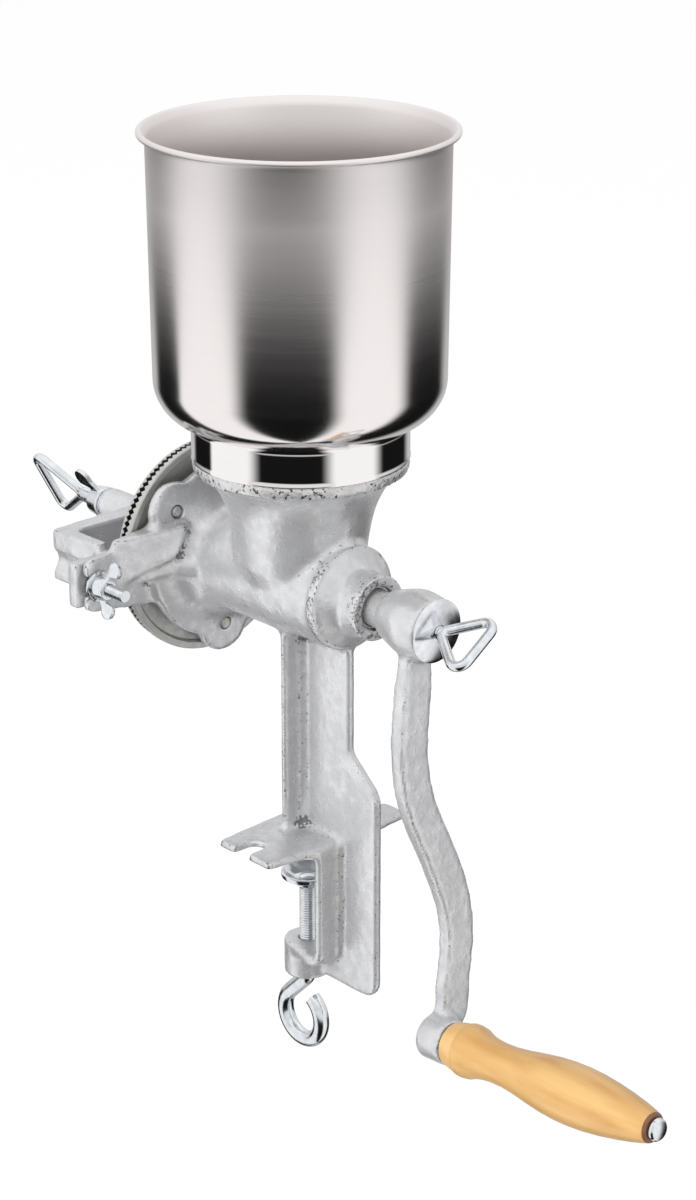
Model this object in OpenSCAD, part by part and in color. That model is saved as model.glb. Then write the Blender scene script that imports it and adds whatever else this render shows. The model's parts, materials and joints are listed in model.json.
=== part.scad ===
// Hand-cranked grain and coffee mill with a table clamp.
// +X runs along the auger's axis toward the crank, +Z is up. The origin lies on the table seat, right
// under the crossing of the auger's axis and the hopper's axis.

/* [Frame] */
// Height of the auger's axis over the table seat
axis_z = 124; // [118:1:130]
// Distance of the clamp screw's axis from the hopper's axis, toward the crank
clamp_x = 3; // [1:0.5:5]
// Running clearance of pins, journals and threads, on the radius
running_gap = 0.06; // [0.03:0.01:0.1]
// Gap between flat faces of pieces that can be taken apart
seat_gap = 0.1; // [0.05:0.05:0.3]
// Overrun of every cut past the face that it opens
overrun = 1; // [0.5:0.5:2]

/* [Hopper] */
// Thickness of the spun sheet
sheet_t = 0.8; // [0.6:0.1:1.2]
// Outer radius of the wall just under the rim
bowl_top_r = 66.2; // [60:0.2:72]
// Outer radius of the wall where the bottom starts to round
bowl_low_r = 65; // [60:0.2:70]
// Height of the straight wall, from the rounded bottom to the rim
bowl_wall_h = 109; // [80:1:130]
// Radius of the rounded bottom edge
bowl_round_r = 20.5; // [18:0.5:24]
// Radius of the rolled bead at the rim
rim_bead_r = 1.4; // [1.2:0.1:2]
// Outer radius of the rim
rim_r = 70; // [69:0.5:76]
// Outer radius of the neck band
neck_r = 50.5; // [48:0.5:54]
// Height of the neck band
neck_h = 17; // [12:0.5:22]
// Width of the neck's turned-in foot ring
neck_foot_w = 3.9; // [3:0.1:5]

/* [Casting mouth] */
// Height of the mouth's lip over the auger's axis
mouth_h = 58.7; // [54:0.1:64]
// Inset of the lip under the outside of the neck band
lip_set = 2; // [0.5:0.1:3]
// Height of the lip
lip_h = 5.4; // [4:0.1:8]
// Height of the spigot that holds the hopper's foot ring
spigot_h = 5; // [3:0.5:9]
// Wall thickness of the mouth
mouth_wall = 3.6; // [3:0.1:5]
// Outer radius of the throat where the mouth meets the barrel
throat_r = 29.4; // [28.5:0.1:31]

/* [Casting barrel] */
// Outer radius of the barrel round the auger
barrel_r = 25.2; // [24:0.1:28]
// Distance from the hopper's axis to the faces that the stationary burr lies on
flange_reach = 64.4; // [63:0.1:68]
// Height of the pads over the mounting flange
pad_h = 4.4; // [2:0.1:5]
// Radius of the pads round the burr's pins
pad_round_r = 7.5; // [5:0.5:10]
// Thickness of the mounting flange
flange_t = 6; // [5:0.5:8]
// Radius of the mounting flange between its lobes
flange_r = 42; // [38:0.5:46]
// Radius of the flange's lobes
lobe_r = 13.5; // [9:0.5:15]
// Radius of the fillet between barrel and flange
flange_fillet_r = 14; // [10:0.5:16]
// Inner radius of the auger's chamber
chamber_r = 20; // [19.2:0.1:20.6]
// Distance from the hopper's axis to the rear wall of the chamber
chamber_end = 24; // [20:0.5:27]
// Distance from the hopper's axis to the rear collar
collar_x = 30.5; // [29:0.5:33]
// Thickness of the rear collar
collar_t = 4.5; // [3:0.5:7]
// Radius of the rear collar
collar_r = 24; // [23:0.5:28]
// Length of the cone in front of the collar
collar_cone_h = 5; // [3:0.5:8]
// Radius of the bearing nose
nose_r = 14.7; // [13:0.1:16]
// Distance from the hopper's axis to the end of the bearing nose
nose_end = 52; // [48:0.5:56]
// Radius of the recess at the mouth of the bearing
nose_recess_r = 9.8; // [9.5:0.1:11]
// Depth of the recess at the mouth of the bearing
nose_recess_h = 2.6; // [1:0.1:4]

/* [Casting arms] */
// Setback of the ears behind the faces that the stationary burr lies on
ear_set = 2.8; // [1:0.1:4]
// Thickness of the arms and ears
ear_t = 4.4; // [3.5:0.1:6]
// Length of the ears past the middle of the yoke bolts
ear_past = 6.1; // [5:0.1:9]
// Drop of the bolt slots' middle under the auger's axis
ear_drop = 1.5; // [0:0.5:3]
// Half height of the ears at their tips
ear_tip_half = 12.9; // [11:0.1:15]
// Rise of the arms' top edge at the root over the auger's axis
arm_root_up = 16; // [13:0.5:20]
// Drop of the arms' bottom edge at the root under the auger's axis
arm_root_down = 21; // [16:0.5:24]
// Width of the ear slots
ear_slot_w = 8.6; // [7:0.1:10]
// Distance from the outside of the yoke's arms to the middle of the yoke bolts
bolt_out = 8.6; // [7.6:0.1:12]
// Thickness of the gussets behind the arms
gusset_t = 8; // [5:0.5:11]
// Reach of the gussets along the arms, from the auger's axis
gusset_y = 51; // [44:1:56]
// Depth of the gussets, from the arms toward the crank
gusset_x = 27; // [18:1:34]

/* [Column and clamp] */
// Thickness of the column's web
web_t = 4.7; // [4:0.1:7]
// Distance from the hopper's axis to the column's front edge, toward the crank
column_front_x = 34; // [32:0.5:36]
// Thickness of the column's cross flange
column_flange_t = 3.6; // [3:0.1:5]
// Half width of the column's cross flange
column_flange_half = 13.8; // [11:0.1:17]
// Distance from the hopper's axis to the clamp's back edge, toward the crank
clamp_back_x = 52.5; // [48:0.5:56]
// Height at which the column starts to widen over the seat
shoulder_top_z = 49.5; // [44:0.5:56]
// Height at which the column has its full width over the seat
shoulder_low_z = 33; // [24:0.5:38]
// Thickness of the seat plate
plate_t = 4.2; // [3.5:0.1:6]
// Half length of the seat plate across the auger's axis
plate_half = 42.5; // [38:0.5:46]
// Reach of the seat plate under the burrs, at the column
plate_back_x = 13.5; // [12:0.5:16]
// Reach of the seat plate under the burrs, at its tips
plate_tip_back_x = 10.2; // [9.5:0.1:12]
// Reach of the seat plate toward the crank, at the column
plate_front_x = 30; // [29:0.5:34]
// Reach of the seat plate toward the crank, at its tips
plate_tip_front_x = 25; // [22:0.5:28]
// Middle of the seat plate's slots, toward the crank
plate_slot_x = 5.4; // [3:0.1:8]
// Width of the seat plate's slots
plate_slot_w = 9.4; // [7:0.1:12]
// Depth of the seat plate's slots from the tips
plate_slot_h = 13; // [9:0.5:16]
// Distance from the hopper's axis to the clamp's inner face
clamp_throat_x = 24.1; // [22:0.1:26]
// Thickness of the clamp's ribs
clamp_rib_t = 4.9; // [4:0.1:6]
// Half width of the clamp's upright rib
clamp_rib_half = 15.6; // [12.5:0.1:18]
// Depth from the seat to the top of the lower jaw
jaw_drop = 54.6; // [48:0.1:62]
// Height of the lower jaw's boss
jaw_boss_h = 18.2; // [14:0.1:22]
// Radius of the lower jaw's boss
jaw_boss_r = 11.2; // [10:0.1:13]
// Height of the web under the lower jaw's top
jaw_web_h = 15.1; // [12:0.1:17]
// Radius of the clamp's lower back corner
clamp_corner_r = 9; // [5:0.5:12]

/* [Burrs] */
// Radius of the stationary burr
still_burr_r = 50.8; // [48:0.1:53]
// Inset of the rotating burr's rim behind the stationary burr's
burr_set = 0.8; // [0:0.1:2]
// Thickness of the stationary burr's web
still_web_t = 2.4; // [2.2:0.1:4]
// Thickness of the rotating burr
burr_t = 3.2; // [2.8:0.1:4]
// Gap between the two burrs as set
burr_gap = 0.9; // [0.6:0.1:1.2]
// Width of the stationary burr's raised rim
still_rim_w = 3.8; // [3:0.1:5]
// Height of the stationary burr's raised rim
still_rim_h = 1.6; // [1:0.1:2.4]
// Radius of the feed hole in the stationary burr
feed_r = 20; // [19.2:0.1:22]
// Number of grooves in each burr
groove_count = 60; // [24:12:72]
// Depth of the burrs' grooves
groove_h = 0.9; // [0.5:0.1:1.2]
// Radius at which the grooves start
groove_start_r = 26; // [24:1:34]
// Distance of the stationary burr's pins from the auger's axis
still_pin_place_r = 37; // [34:0.5:38]
// Radius of the burrs' pins
burr_pin_r = 2.6; // [2:0.1:3]
// Distance of the rotating burr's pins from the auger's axis
turning_pin_place_r = 31; // [28:0.5:34]
// Thickness of the carrier's plate
carrier_t = 4; // [3.5:0.1:6]
// Height of the carrier's rim and ribs over its plate
carrier_rim_h = 1.6; // [1:0.1:3]
// Inset of the carrier's rim behind the rotating burr's
carrier_set = 6; // [3:0.1:9]
// Radius of the carrier's hub
carrier_hub_r = 13; // [12:0.5:15]
// Height of the carrier's hub over its plate
carrier_hub_h = 10.4; // [9:0.1:11]

/* [Auger and crank] */
// Radius of the auger's rear journal
shaft_r = 8.5; // [8:0.1:9]
// Radius of the auger's burr end
shaft_tail_r = 7.5; // [7:0.1:7.9]
// Outer radius of the worm
worm_r = 18.6; // [16:0.1:18.8]
// Length of one turn of the worm
worm_pitch = 24; // [18:1:30]
// Length of the gap between bearing nose and crank hub
crank_gap = 7.6; // [6:0.1:9]
// Length of the crank's hub
hub_l = 28; // [26:0.1:32]
// Largest radius of the crank's hub
hub_r = 15.4; // [14:0.1:17]
// Thickness of the domed crank washer
crank_washer_t = 2.4; // [2:0.1:3]
// Throw of the crank, from the shaft's axis to the handle's axis
crank_throw = 197; // [180:1:210]
// Lean of the crank arm away from the body, in degrees
crank_lean = 4.6; // [3:0.1:6]
// Width of the crank arm
arm_w = 15.2; // [12:0.1:17]
// Thickness of the crank arm
arm_t = 6.8; // [5.5:0.1:9]
// Largest swing of the arm's curve to each side
arm_swing = 17.3; // [12:0.1:20]
// Radius of the boss that carries the handle
boss_r = 10.6; // [10:0.1:13]
// Length of the boss that carries the handle
boss_l = 15.4; // [14:0.1:20]
// Length of the wooden handle
grip_l = 122; // [110:1:140]
// Largest radius of the wooden handle
grip_r = 13.6; // [12:0.1:15]
// Radius of the handle's bolt
grip_bolt_r = 3; // [2.5:0.1:3.5]
// Radius of the head of the handle's bolt
grip_head_r = 6; // [5:0.1:7]

/* [Yoke and screws] */
// Gap between the stationary burr's rim and the yoke's arms
yoke_clear = 6.2; // [4:0.1:9]
// Thickness of the yoke's arms
yoke_arm_t = 5.8; // [5:0.1:7]
// Depth of the yoke, from the faces that the stationary burr lies on to its crossbar
yoke_depth = 27.6; // [26:0.1:32]
// Thickness of the yoke's crossbar at its ends
yoke_bar_t = 7.8; // [6:0.1:9]
// Bow of the crossbar at its middle
yoke_bow = 4.3; // [2:0.1:8]
// Rise of the yoke over the auger's axis
yoke_up = 13; // [11:0.5:15]
// Drop of the yoke under the auger's axis
yoke_down = 11.5; // [9:0.5:14]
// Thickness of the yoke's lugs
lug_t = 6.4; // [5:0.1:8]
// Length of the yoke's lugs past the middle of the yoke bolts
lug_past = 8.9; // [7:0.1:12]
// Radius of the yoke's boss
yoke_boss_r = 8.3; // [7.5:0.1:9]
// Length of the yoke's boss behind the crossbar
yoke_boss_l = 40.2; // [34:0.1:44]
// Radius of the adjusting screw
adjust_r = 3.9; // [3.4:0.1:4.2]
// Length of the adjusting screw behind the yoke's boss, to its loop
adjust_tail_l = 20.5; // [19:0.5:26]
// Radius of the thrust ball
ball_r = 4; // [3.5:0.1:4.2]
// Radius of the yoke bolts
yoke_bolt_r = 2.9; // [2.4:0.1:3]
// Length of the yoke bolts past the ears
yoke_bolt_out = 19.5; // [17:0.5:24]
// Thickness of the plain washers
washer_t = 1.4; // [1:0.1:2]
// Radius of the plain washers
washer_r = 7.2; // [6.8:0.1:8]
// Height of a wing nut's hub
wing_hub_h = 6.6; // [5:0.1:8]
// Radius of a wing nut's hub at its foot
wing_hub_r = 5.6; // [5:0.1:6]
// Reach of a wing from the nut's axis
wing_reach = 13; // [11:0.5:16]
// Thickness of a wing
wing_t = 2; // [1.5:0.1:3]
// Radius of the bent rod that makes the screws' loops
loop_rod_r = 2.3; // [2:0.1:2.6]
// Radius of the bends in the loops, at the rod's centre
loop_bend_r = 4.4; // [3.5:0.1:5]
// Half width of the adjusting screw's loop
adjust_loop_half = 20.4; // [16:0.1:22]
// Depth of the adjusting screw's loop
adjust_loop_l = 29; // [24:0.5:32]
// Radius of the crank's thumb screw
thumb_r = 3; // [2.6:0.1:3.4]
// Half width of the thumb screw's loop
thumb_loop_half = 15.6; // [12:0.1:17]
// Depth of the thumb screw's loop
thumb_loop_l = 22; // [18:0.5:24]

/* [Clamp screw] */
// Radius of the clamp screw
clamp_screw_r = 3.95; // [3.4:0.05:4.4]
// Depth from the seat to the rim of the clamp pad, as set
pad_drop = 20.5; // [18:0.5:30]
// Radius of the clamp pad's rim
pad_r = 12.4; // [11:0.1:14]
// Height of the clamp pad's dish
pad_dish_h = 5; // [4:0.1:7]
// Thickness of the clamp pad
pad_t = 1.8; // [1.4:0.1:2.6]
// Radius of the clamp pad's collar
pad_collar_r = 6.6; // [6:0.1:7.5]
// Radius of the clamp screw's hook, at the rod's centre
hook_r = 12.8; // [11:0.1:15]
// Length of the straight rod under the jaw, before the hook
hook_neck_l = 1; // [0.5:0.5:4]

/* [Hidden] */
$fn = 96;

// Colours of the finishes
tinned_iron = [0.80, 0.80, 0.80];
dark_iron = [0.55, 0.55, 0.55];
satin_steel = [0.70, 0.67, 0.65];
zinc = [0.70, 0.74, 0.78];
varnished_wood = [0.88, 0.68, 0.38];

// Faces of a round bend and of a turned arc
bend_steps = 10;

// Heights of the mouth
lip_z = axis_z + mouth_h;
neck_z = lip_z + seat_gap;
shoulder_z = neck_z + neck_h;
// The bowl's bottom rounds from the neck out to the wall
round_centre_r = bowl_low_r - bowl_round_r;
round_start = acos((neck_r - round_centre_r) / bowl_round_r);
round_centre_z = shoulder_z + bowl_round_r * sin(round_start);
rim_z = round_centre_z + bowl_wall_h;
spigot_r = neck_r - neck_foot_w - seat_gap;
lip_r = neck_r - lip_set;

// Places of the yoke, its bolts and the ears
yoke_bar_x = flange_reach + yoke_depth;
yoke_half = still_burr_r + yoke_clear;
yoke_bolt_y = yoke_half + yoke_arm_t + bolt_out;
ear_tip_y = yoke_bolt_y + ear_past;
lug_tip_y = yoke_bolt_y + lug_past;

// Places along the auger's axis, with the burrs on the minus side
turning_burr_r = still_burr_r - burr_set;
carrier_r = turning_burr_r - carrier_set;
flange_x = -flange_reach + pad_h;
still_face_x = -flange_reach - still_web_t;
turning_face_x = still_face_x - burr_gap;
turning_back_x = turning_face_x - burr_t;
carrier_back_x = turning_back_x - carrier_t;
hub_tail_x = carrier_back_x - carrier_hub_h;
tail_end_x = hub_tail_x + ball_r / 2;
ball_x = tail_end_x - ball_r / 2;
screw_tip_x = ball_x - ball_r - seat_gap;
yoke_boss_end_x = -yoke_bar_x - yoke_bar_t - yoke_boss_l;
adjust_root_x = yoke_boss_end_x - adjust_tail_l;
crank_x = nose_end + crank_gap;
hub_face_x = crank_x + hub_l;
shaft_end_x = hub_face_x - hub_l / 4;
arm_x = crank_x + hub_l * 9 / 16;
crank_washer_x = hub_face_x + seat_gap;
thumb_root_x = crank_washer_x + crank_washer_t + seat_gap;
ear_reach = flange_reach - ear_set;
ear_front_x = -ear_reach + ear_t;
ear_z = -ear_drop;
bolt_z = axis_z + ear_z;

// Angles of the three burr pins about the auger's axis, from straight up
pin_angles = [48.5, 180, 311.5];
turning_pin_angles = [0, 120, 240];

// Turn of each loop and wing nut about its own axis, in degrees from +Y toward +Z
adjust_loop_turn = 119;
thumb_loop_turn = 35;
lock_wing_turn = 118;
near_wing_turn = 76;
far_wing_turn = 100;

function arc(cx, cy, r, from, to, steps = bend_steps) =
    [for (i = [0:steps]) let (a = from + (to - from) * i / steps)
        [cx + r * cos(a), cy + r * sin(a)]];

// The rounded corner of a bent rod that comes from a, turns at v and goes on to b
function corner(a, v, b, r) =
    let (u = (a - v) / norm(a - v), w = (b - v) / norm(b - v), half = acos(u * w) / 2,
         centre = v + (u + w) / norm(u + w) * r / sin(half), arm = v + u * r / tan(half) - centre,
         side = u[0] * w[1] < u[1] * w[0] ? 1 : -1)
    [for (i = [0:bend_steps]) let (t = side * (180 - 2 * half) * i / bend_steps)
        centre + [arm[0] * cos(t) - arm[1] * sin(t), arm[0] * sin(t) + arm[1] * cos(t)]];

// A round rod bent along a path in the XY plane, as one closed ring or with two flat ends
rod_sides = 24;
module bent_rod(path, r, closed) {
    n = len(path);
    last = closed ? n - 1 : n - 2;
    function before(i) = closed ? path[(i + n - 1) % n] : path[max(i - 1, 0)];
    function after(i) = closed ? path[(i + 1) % n] : path[min(i + 1, n - 1)];
    function unit(v) = norm(v) > 0 ? v / norm(v) : [0, 0];
    points = [for (i = [0:n - 1], j = [0:rod_sides - 1])
        let (t = unit(unit(path[i] - before(i)) + unit(after(i) - path[i])), a = 360 * j / rod_sides)
        [path[i][0] - t[1] * r * cos(a), path[i][1] + t[0] * r * cos(a), r * sin(a)]];
    sides = [for (i = [0:last], j = [0:rod_sides - 1])
        let (p = i * rod_sides, q = ((i + 1) % n) * rod_sides, k = (j + 1) % rod_sides)
        each [[p + j, q + j, q + k], [p + j, q + k, p + k]]];
    ends = closed ? [] : [[for (j = [0:rod_sides - 1]) j], [for (j = [rod_sides - 1:-1:0]) (n - 1) * rod_sides + j]];
    polyhedron(points, concat(sides, ends));
}

// Points of a smooth curve through chosen points, for outlines in any plane
function curve_point(p, i, t) =
    let (n = len(p) - 1, a = p[max(i - 1, 0)], b = p[i], c = p[min(i + 1, n)], d = p[min(i + 2, n)])
    (2 * b + (c - a) * t + (2 * a - 5 * b + 4 * c - d) * t * t
     + (3 * b - a - 3 * c + d) * t * t * t) / 2;
function curve(p, steps) =
    concat([for (i = [0:len(p) - 2], s = [0:steps - 1]) curve_point(p, i, s / steps)],
           [p[len(p) - 1]]);

// A turned solid about the auger's axis; its outline gives radius and place along X
module turned(points) {
    translate([0, 0, axis_z]) rotate([0, 90, 0]) rotate_extrude() polygon(points);
}

// A round bar along X from one place to another, about the auger's axis
module bar_x(from, to, r) {
    translate([from, 0, axis_z]) rotate([0, 90, 0]) cylinder(h = to - from, r = r);
}

// A plate square to X, drawn in Y and Z about the auger's axis
module plate_x(from, to) {
    translate([from, 0, axis_z]) rotate([90, 0, 90]) linear_extrude(to - from) children();
}

// A plate square to Y and centred on it, drawn in X and Z from the seat
module plate_y(t) {
    rotate([90, 0, 0]) linear_extrude(t, center = true) children();
}

module both_sides() {
    children();
    mirror([0, 1, 0]) children();
}

module place_pins(angles, place_r) {
    for (a = angles) translate([place_r * sin(a), place_r * cos(a)]) children();
}

// Outline of the mouth, outside or inside: the radius is drawn in by the inset
mouth_radius_shares = [0, 0.04, 0.1, 0.26, 0.54, 0.88];
mouth_height_shares = [0.2, 0.32, 0.45, 0.67, 0.85, 0.98];
function mouth_outline(inset) =
    curve([for (i = [0:len(mouth_radius_shares) - 1])
        [throat_r - inset + (lip_r - lip_h / 2 - throat_r) * mouth_radius_shares[i],
         (mouth_h - lip_h) * mouth_height_shares[i]]], 3);

module mouth_solid() {
    top = mouth_h - lip_h;
    translate([0, 0, axis_z]) {
        rotate_extrude() polygon(concat([[0, -throat_r / 2], [barrel_r * 4 / 5, -throat_r / 2], [throat_r - web_t, 0]],
            mouth_outline(0), [[lip_r - lip_h / 4, top], [0, top]]));
        translate([0, 0, top]) cylinder(h = lip_h, r = lip_r);
        translate([0, 0, mouth_h]) cylinder(h = spigot_h, r = spigot_r);
    }
}

module mouth_hollow() {
    top = mouth_h + spigot_h + overrun;
    inner = spigot_r - mouth_wall;
    translate([0, 0, axis_z]) rotate_extrude()
        polygon(concat([[0, 0], [chamber_r - seat_gap, 0]], mouth_outline(mouth_wall),
                       [[inner, mouth_h - lip_h], [inner, top], [0, top]]));
}

module barrel_solid() {
    back = flange_x + flange_t;
    nose_x = collar_x + collar_t + collar_cone_h;
    turned(concat([[0, -flange_reach], [barrel_r, -flange_reach], [barrel_r, flange_x], [barrel_r + flange_fillet_r, flange_x]],
        arc(barrel_r + flange_fillet_r, back + flange_fillet_r, flange_fillet_r, 270, 180),
        [[barrel_r, 0], [barrel_r - web_t / 3, collar_x - collar_t * 3 / 2], [barrel_r - web_t / 2, collar_x - collar_t / 2],
         [collar_r - collar_t / 6, collar_x], [collar_r, collar_x + collar_t / 4],
         [collar_r, collar_x + collar_t * 3 / 4], [collar_r - collar_t / 3, collar_x + collar_t],
         [nose_r + collar_cone_h / 3, nose_x - collar_cone_h / 4], [nose_r, nose_x],
         [nose_r, nose_end - web_t / 6], [nose_r - web_t / 6, nose_end], [0, nose_end]]));
}

module mounting_flange() {
    plate_x(flange_x, flange_x + flange_t) {
        circle(r = flange_r);
        place_pins(pin_angles, still_pin_place_r) circle(r = lobe_r);
    }
    plate_x(-flange_reach, flange_x + flange_t / 2) place_pins(pin_angles, still_pin_place_r) circle(r = pad_round_r);
}

// One arm with its ear, on the +Y side, and the gusset that stiffens it
module arm() {
    root_y = barrel_r / 2;
    plate_x(-ear_reach, ear_front_x) difference() {
        polygon([[root_y, arm_root_up], [ear_tip_y - ear_t, ear_z + ear_tip_half], [ear_tip_y, ear_z + ear_tip_half - ear_t / 2],
                 [ear_tip_y, ear_z - ear_tip_half + ear_t / 2], [ear_tip_y - ear_t, ear_z - ear_tip_half],
                 [root_y, -arm_root_down]]);
        translate([yoke_bolt_y, ear_z]) circle(d = ear_slot_w);
        translate([yoke_bolt_y, ear_z - ear_slot_w / 2]) square([ear_tip_y - yoke_bolt_y + overrun, ear_slot_w]);
    }
    translate([0, 0, axis_z + ear_z - gusset_t / 2]) linear_extrude(gusset_t)
        polygon(concat([[flange_x, root_y], [ear_front_x + gusset_x, root_y]],
            arc(ear_front_x + gusset_x, gusset_y, gusset_x, 225, 180), [[flange_x, gusset_y]]));
}

// Outline of the column's web in X and Z, from the barrel down to the lower jaw
module web_outline() {
    fillet_r = collar_x + collar_t + collar_cone_h - column_front_x;
    top_z = axis_z - nose_r;
    low_z = -jaw_drop - jaw_web_h;
    polygon(concat([[0, 0], [0, axis_z - chamber_r], [column_front_x + fillet_r, axis_z - chamber_r / 2],
                    [column_front_x + fillet_r, top_z]],
        arc(column_front_x + fillet_r, top_z - fillet_r, fillet_r, 90, 180),
        [[column_front_x, shoulder_top_z], [clamp_back_x - web_t / 2, shoulder_low_z + web_t / 2], [clamp_back_x, shoulder_low_z - web_t / 2]],
        arc(clamp_back_x - clamp_corner_r, low_z + clamp_corner_r, clamp_corner_r, 0, -90),
        [[clamp_x, low_z], [clamp_x, -jaw_drop - clamp_rib_t / 2], [clamp_throat_x + clamp_rib_t / 2, -jaw_drop - clamp_rib_t / 2],
         [clamp_throat_x + clamp_rib_t / 2, 0]]));
}

// Outline of the clamp's rib in X and Z: upright from the seat, then bent into the lower jaw
module rib_outline() {
    outer_r = clamp_rib_t * 2;
    low_z = -jaw_drop - clamp_rib_t;
    back_x = clamp_throat_x + clamp_rib_t;
    polygon(concat([[clamp_throat_x, plate_t / 2], [clamp_throat_x, -jaw_drop + clamp_rib_t]],
        arc(clamp_throat_x - clamp_rib_t, -jaw_drop + clamp_rib_t, clamp_rib_t, 0, -90),
        [[clamp_throat_x - clamp_rib_t, low_z]],
        arc(back_x - outer_r, low_z + outer_r, outer_r, -90, 0), [[back_x, plate_t / 2]]));
}

module lower_jaw() {
    reach_x = clamp_throat_x - clamp_rib_t;
    translate([0, 0, -jaw_drop - clamp_rib_t]) linear_extrude(clamp_rib_t)
        polygon([[clamp_x, -jaw_boss_r], [reach_x, -clamp_rib_half], [reach_x + clamp_rib_t / 2, -clamp_rib_half],
                 [reach_x + clamp_rib_t / 2, clamp_rib_half], [reach_x, clamp_rib_half], [clamp_x, jaw_boss_r]]);
    translate([clamp_x, 0, -jaw_drop - jaw_boss_h]) cylinder(h = jaw_boss_h, r = jaw_boss_r);
}

module seat_plate() {
    linear_extrude(plate_t) difference() {
        polygon([[-plate_back_x, 0], [-plate_tip_back_x, plate_half], [plate_tip_front_x, plate_half],
                 [plate_front_x, 0], [plate_tip_front_x, -plate_half], [-plate_tip_back_x, -plate_half]]);
        both_sides() translate([plate_slot_x, plate_half - plate_slot_h]) {
            translate([0, plate_slot_w / 2]) circle(d = plate_slot_w);
            translate([-plate_slot_w / 2, plate_slot_w / 2]) square([plate_slot_w, plate_slot_h + overrun]);
        }
    }
}

module body_casting() {
    color(tinned_iron) difference() {
        union() {
            mouth_solid();
            barrel_solid();
            mounting_flange();
            both_sides() arm();
            plate_y(web_t) web_outline();
            translate([0, -column_flange_half, plate_t / 2])
                cube([column_flange_t, column_flange_half * 2, axis_z - chamber_r - plate_t / 2]);
            seat_plate();
            plate_y(clamp_rib_half * 2) rib_outline();
            lower_jaw();
        }
        mouth_hollow();
        bar_x(-flange_reach - overrun, chamber_end, chamber_r);
        bar_x(chamber_end - overrun, nose_end + overrun, shaft_r + running_gap);
        bar_x(nose_end - nose_recess_h, nose_end + overrun, nose_recess_r);
        plate_x(-flange_reach - overrun, flange_x + flange_t + overrun)
            place_pins(pin_angles, still_pin_place_r) circle(r = burr_pin_r + running_gap);
        translate([clamp_x, 0, -jaw_drop - jaw_boss_h - overrun])
            cylinder(h = jaw_boss_h + overrun * 2, r = clamp_screw_r + running_gap);
    }
}

module hopper_bowl() {
    bead_centre_r = rim_r - rim_bead_r;
    inner_start = acos((neck_r - sheet_t - round_centre_r) / (bowl_round_r - sheet_t));
    inner_z = round_centre_z - (bowl_round_r - sheet_t) * sin(inner_start);
    outside = concat([[neck_r - neck_foot_w, neck_z], [neck_r - sheet_t, neck_z], [neck_r, neck_z + sheet_t]],
        arc(round_centre_r, round_centre_z, bowl_round_r, -round_start, 0),
        [[bowl_top_r, rim_z - rim_bead_r * 2], [bead_centre_r, rim_z - rim_bead_r / 2]]);
    inside = concat([[bead_centre_r, rim_z + rim_bead_r / 2], [bowl_top_r - sheet_t, rim_z - rim_bead_r]],
        arc(round_centre_r, round_centre_z, bowl_round_r - sheet_t, 0, -inner_start),
        [[neck_r - sheet_t, neck_z + sheet_t], [neck_r - neck_foot_w, neck_z + sheet_t]]);
    color(satin_steel) rotate_extrude() {
        polygon(concat(outside, inside));
        translate([bead_centre_r, rim_z]) circle(r = rim_bead_r, $fn = 32);
    }
}

// Radial grooves with a V section, cut into the face of a burr that looks along +X or -X
module grooves(face_x, outer_r) {
    for (i = [0:groove_count - 1]) translate([face_x, 0, axis_z]) rotate([i * 360 / groove_count, 0, 0])
        translate([0, 0, groove_start_r]) rotate([0, 0, 45])
            translate([-groove_h / 2, -groove_h / 2, 0]) cube([groove_h, groove_h, outer_r]);
}

module stationary_burr() {
    back_x = -flange_reach - seat_gap / 2;
    color(dark_iron) difference() {
        turned([[feed_r, still_face_x], [still_burr_r, still_face_x],
                [still_burr_r, -flange_reach + still_rim_h], [still_burr_r - still_rim_w, -flange_reach + still_rim_h],
                [still_burr_r - still_rim_w, back_x], [feed_r, back_x]]);
        grooves(still_face_x, still_burr_r);
        plate_x(still_face_x - overrun, back_x + overrun)
            place_pins(pin_angles, still_pin_place_r) circle(r = burr_pin_r + running_gap);
    }
}

module stationary_burr_pins() {
    color(zinc) plate_x(still_face_x + groove_h, flange_x + flange_t + seat_gap * 5)
        place_pins(pin_angles, still_pin_place_r) circle(r = burr_pin_r, $fn = 32);
}

module rotating_burr() {
    hole_r = carrier_hub_r + seat_gap;
    color(dark_iron) difference() {
        turned([[hole_r, turning_back_x], [turning_burr_r, turning_back_x],
                [turning_burr_r, turning_face_x], [hole_r, turning_face_x]]);
        grooves(turning_face_x, turning_burr_r);
        plate_x(turning_back_x - overrun, turning_face_x + overrun)
            place_pins(turning_pin_angles, turning_pin_place_r) circle(r = burr_pin_r + running_gap);
    }
}

module rotating_burr_pins() {
    color(zinc) plate_x(carrier_back_x, turning_face_x - groove_h)
        place_pins(turning_pin_angles, turning_pin_place_r) circle(r = burr_pin_r, $fn = 32);
}

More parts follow.
